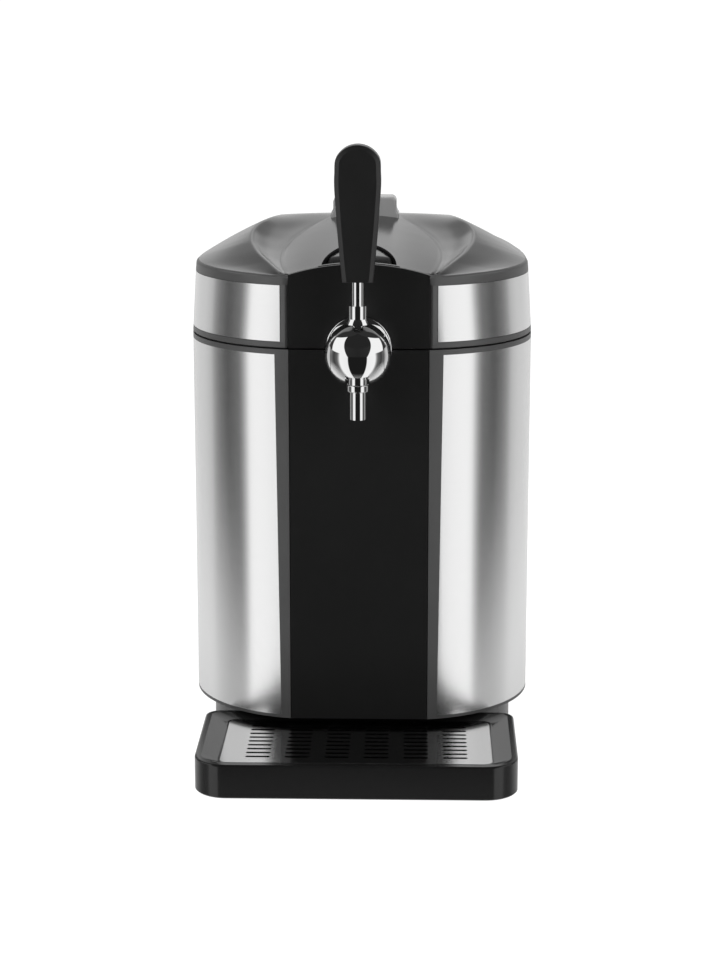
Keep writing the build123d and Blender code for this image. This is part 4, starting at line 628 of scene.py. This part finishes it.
def studio_world():
    """White to the eye; what gloss sees is a studio: dark in front, soft boxes beside, a lit back."""
    scene.world = bpy.data.worlds.new("studio")
    scene.world.use_nodes = True
    w = Nodes(scene.world.node_tree)
    w.tree.nodes.clear()

    def ramp(value, stops, whole=180):
        """Grey by angle; the value is the angle as a share of the whole, in degrees."""
        node = w.add("ShaderNodeValToRGB")
        w.link(value, node.inputs[0])
        while len(node.color_ramp.elements) < len(stops):
            node.color_ramp.elements.new(0.5)
        for element, (degrees, grey) in zip(node.color_ramp.elements, stops):
            element.position = degrees / whole
            element.color = (grey, grey, grey, 1)
        return node.outputs["Color"]

    def background(color, strength=1.0):
        node = w.add("ShaderNodeBackground")
        w.feed(node.inputs["Color"], color)
        w.feed(node.inputs["Strength"], strength)
        return node.outputs[0]

    split = w.add("ShaderNodeSeparateXYZ")
    w.link(w.add("ShaderNodeTexCoord").outputs["Generated"], split.inputs[0])
    wide = w.math("ABSOLUTE", split.outputs["X"])
    near = w.math("MULTIPLY", split.outputs["Y"], -1)
    turn = w.math("DIVIDE", w.math("ARCTAN2", wide, near), math.pi)
    height = w.math("DEGREES", w.math("ARCSINE", split.outputs["Z"]))
    low = ramp(turn, LOW_STUDIO)
    above = w.math("MAXIMUM", w.math("SUBTRACT", height, BOX_LEAN_FROM), 0)
    lean = w.math("MULTIPLY", above, BOX_LEAN / 180)
    box = ramp(w.math("SUBTRACT", turn, lean), SOFT_BOX)
    slant = w.math("ADD", height, w.math("MULTIPLY", turn, BOX_SLANT * 180))
    box = w.mix(w.step(slant, *BOX_TOP), box, BOX_DARK)
    back = w.mix(w.step(height, *BACK_CHANGE), ramp(turn, LOW_BACK), ramp(turn, HIGH_BACK))
    by_height = ramp(w.math("DIVIDE", height, 90), BACK_BY_HEIGHT, 90)
    back = w.mix(1, back, by_height, "MULTIPLY")
    high = w.mix(1, box, back, "LIGHTEN")
    level = w.mix(w.step(height, *BACK_FOOT), low, back)
    front_part = w.mix(w.step(height, *BOX_FOOT), low, high)
    side_part = w.mix(w.step(height, *SIDE_FOOT), low, high)
    back_part = w.mix(w.step(height, *SIDE_FOOT), level, high)
    raised = w.mix(w.step(turn, *SIDE_TURN), front_part, side_part)
    studio = w.mix(w.step(turn, *BACK_TURN), raised, back_part)
    path = w.add("ShaderNodeLightPath")
    shiny = w.math("MAXIMUM", path.outputs["Is Glossy Ray"], path.outputs["Is Transmission Ray"])
    light = w.mix_shader(shiny, background(WHITE, FILL), background(studio))
    seen = w.mix_shader(path.outputs["Is Camera Ray"], light, background(WHITE))
    w.link(seen, w.add("ShaderNodeOutputWorld").inputs["Surface"])


studio_world()


def floor():
    """Plain white floor; the eye sees it near white, with its shadow kept."""
    glow_strength, glow_share = 1.4, 0.66
    fade_from, fade_to, fade_start = 0.25, 1.2, 0.48      # distances in metres, and share at the start
    sooner = 3.2             # in front it ends this many times nearer
    bpy.ops.mesh.primitive_plane_add(size=80)
    plane = bpy.context.object
    plane.name = "floor"
    g = Graph("floor")
    g.tint(g.noise(3, 2), 0.86, 0.88)
    g.set(Roughness=0.9)
    glow = g.add("ShaderNodeEmission")
    g.feed(glow.inputs["Color"], WHITE)
    g.feed(glow.inputs["Strength"], glow_strength)
    path = g.add("ShaderNodeLightPath")
    seen = g.math("MULTIPLY", path.outputs["Is Camera Ray"], glow_share)
    white = g.mix_shader(seen, g.shader.outputs[0], glow.outputs[0])
    # gloss sees a white table top that ends softly round the object, and sooner in front of it
    split = g.add("ShaderNodeSeparateXYZ")
    g.link(g.place, split.inputs[0])
    flat = g.add("ShaderNodeCombineXYZ")
    g.link(split.outputs["X"], flat.inputs["X"])
    g.link(g.math("MULTIPLY", g.math("MINIMUM", split.outputs["Y"], 0), sooner), flat.inputs["Y"])
    ring = g.add("ShaderNodeVectorMath", operation="LENGTH")
    g.link(flat.outputs[0], ring.inputs[0])
    reach = g.step(ring.outputs["Value"], fade_from, fade_to, fade_start)
    clear = g.math("MULTIPLY", path.outputs["Is Glossy Ray"], reach)
    open_air = g.add("ShaderNodeBsdfTransparent")
    surface = g.mix_shader(clear, white, open_air.outputs[0])
    g.link(surface, g.tree.nodes["Material Output"].inputs["Surface"])
    plane.data.materials.append(g.material)


floor()


def lamp(name, spot, target, size, power):
    """Soft rectangular lamp that points at a target."""
    data = bpy.data.lights.new(name, "AREA")
    data.shape = "RECTANGLE"
    data.size, data.size_y = size
    data.energy = power
    light = bpy.data.objects.new(name, data)
    scene.collection.objects.link(light)
    light.location = spot
    light.rotation_euler = (Vector(target) - Vector(spot)).to_track_quat("-Z", "Y").to_euler()
    light.visible_glossy = False


MIDDLE = (0, 0, 0.22)
lamp("left", (-1.3, -1.1, 0.9), MIDDLE, (0.9, 1.4), 16)
lamp("right", (1.3, -1.1, 0.9), MIDDLE, (0.9, 1.4), 16)
lamp("top", (0, 0.2, 1.9), MIDDLE, (1.6, 1.6), 18)

PITCH = math.radians(12.85)
YAW = math.radians(1.46)
DISTANCE = 1.90587
HEIGHT = 0.63922
LENS = 88.27             # with a 36 mm sensor along the frame's long side
FRAME_W, FRAME_H = 720, 960
CENTRE_COLUMN = 362.08   # the picture's column that the camera's axis passes through
camera_data = bpy.data.cameras.new("camera")
camera_data.sensor_width = 36
camera_data.lens = LENS
camera_data.shift_x = (FRAME_W / 2 - CENTRE_COLUMN) / FRAME_H
camera_data.clip_end = 200
camera = bpy.data.objects.new("camera", camera_data)
scene.collection.objects.link(camera)
camera.location = (DISTANCE * math.sin(YAW), WIDE_Y - DISTANCE * math.cos(YAW), HEIGHT)
camera.rotation_euler = (math.pi / 2 - PITCH, 0, YAW)
scene.camera = camera

scene.view_settings.view_transform = "Standard"
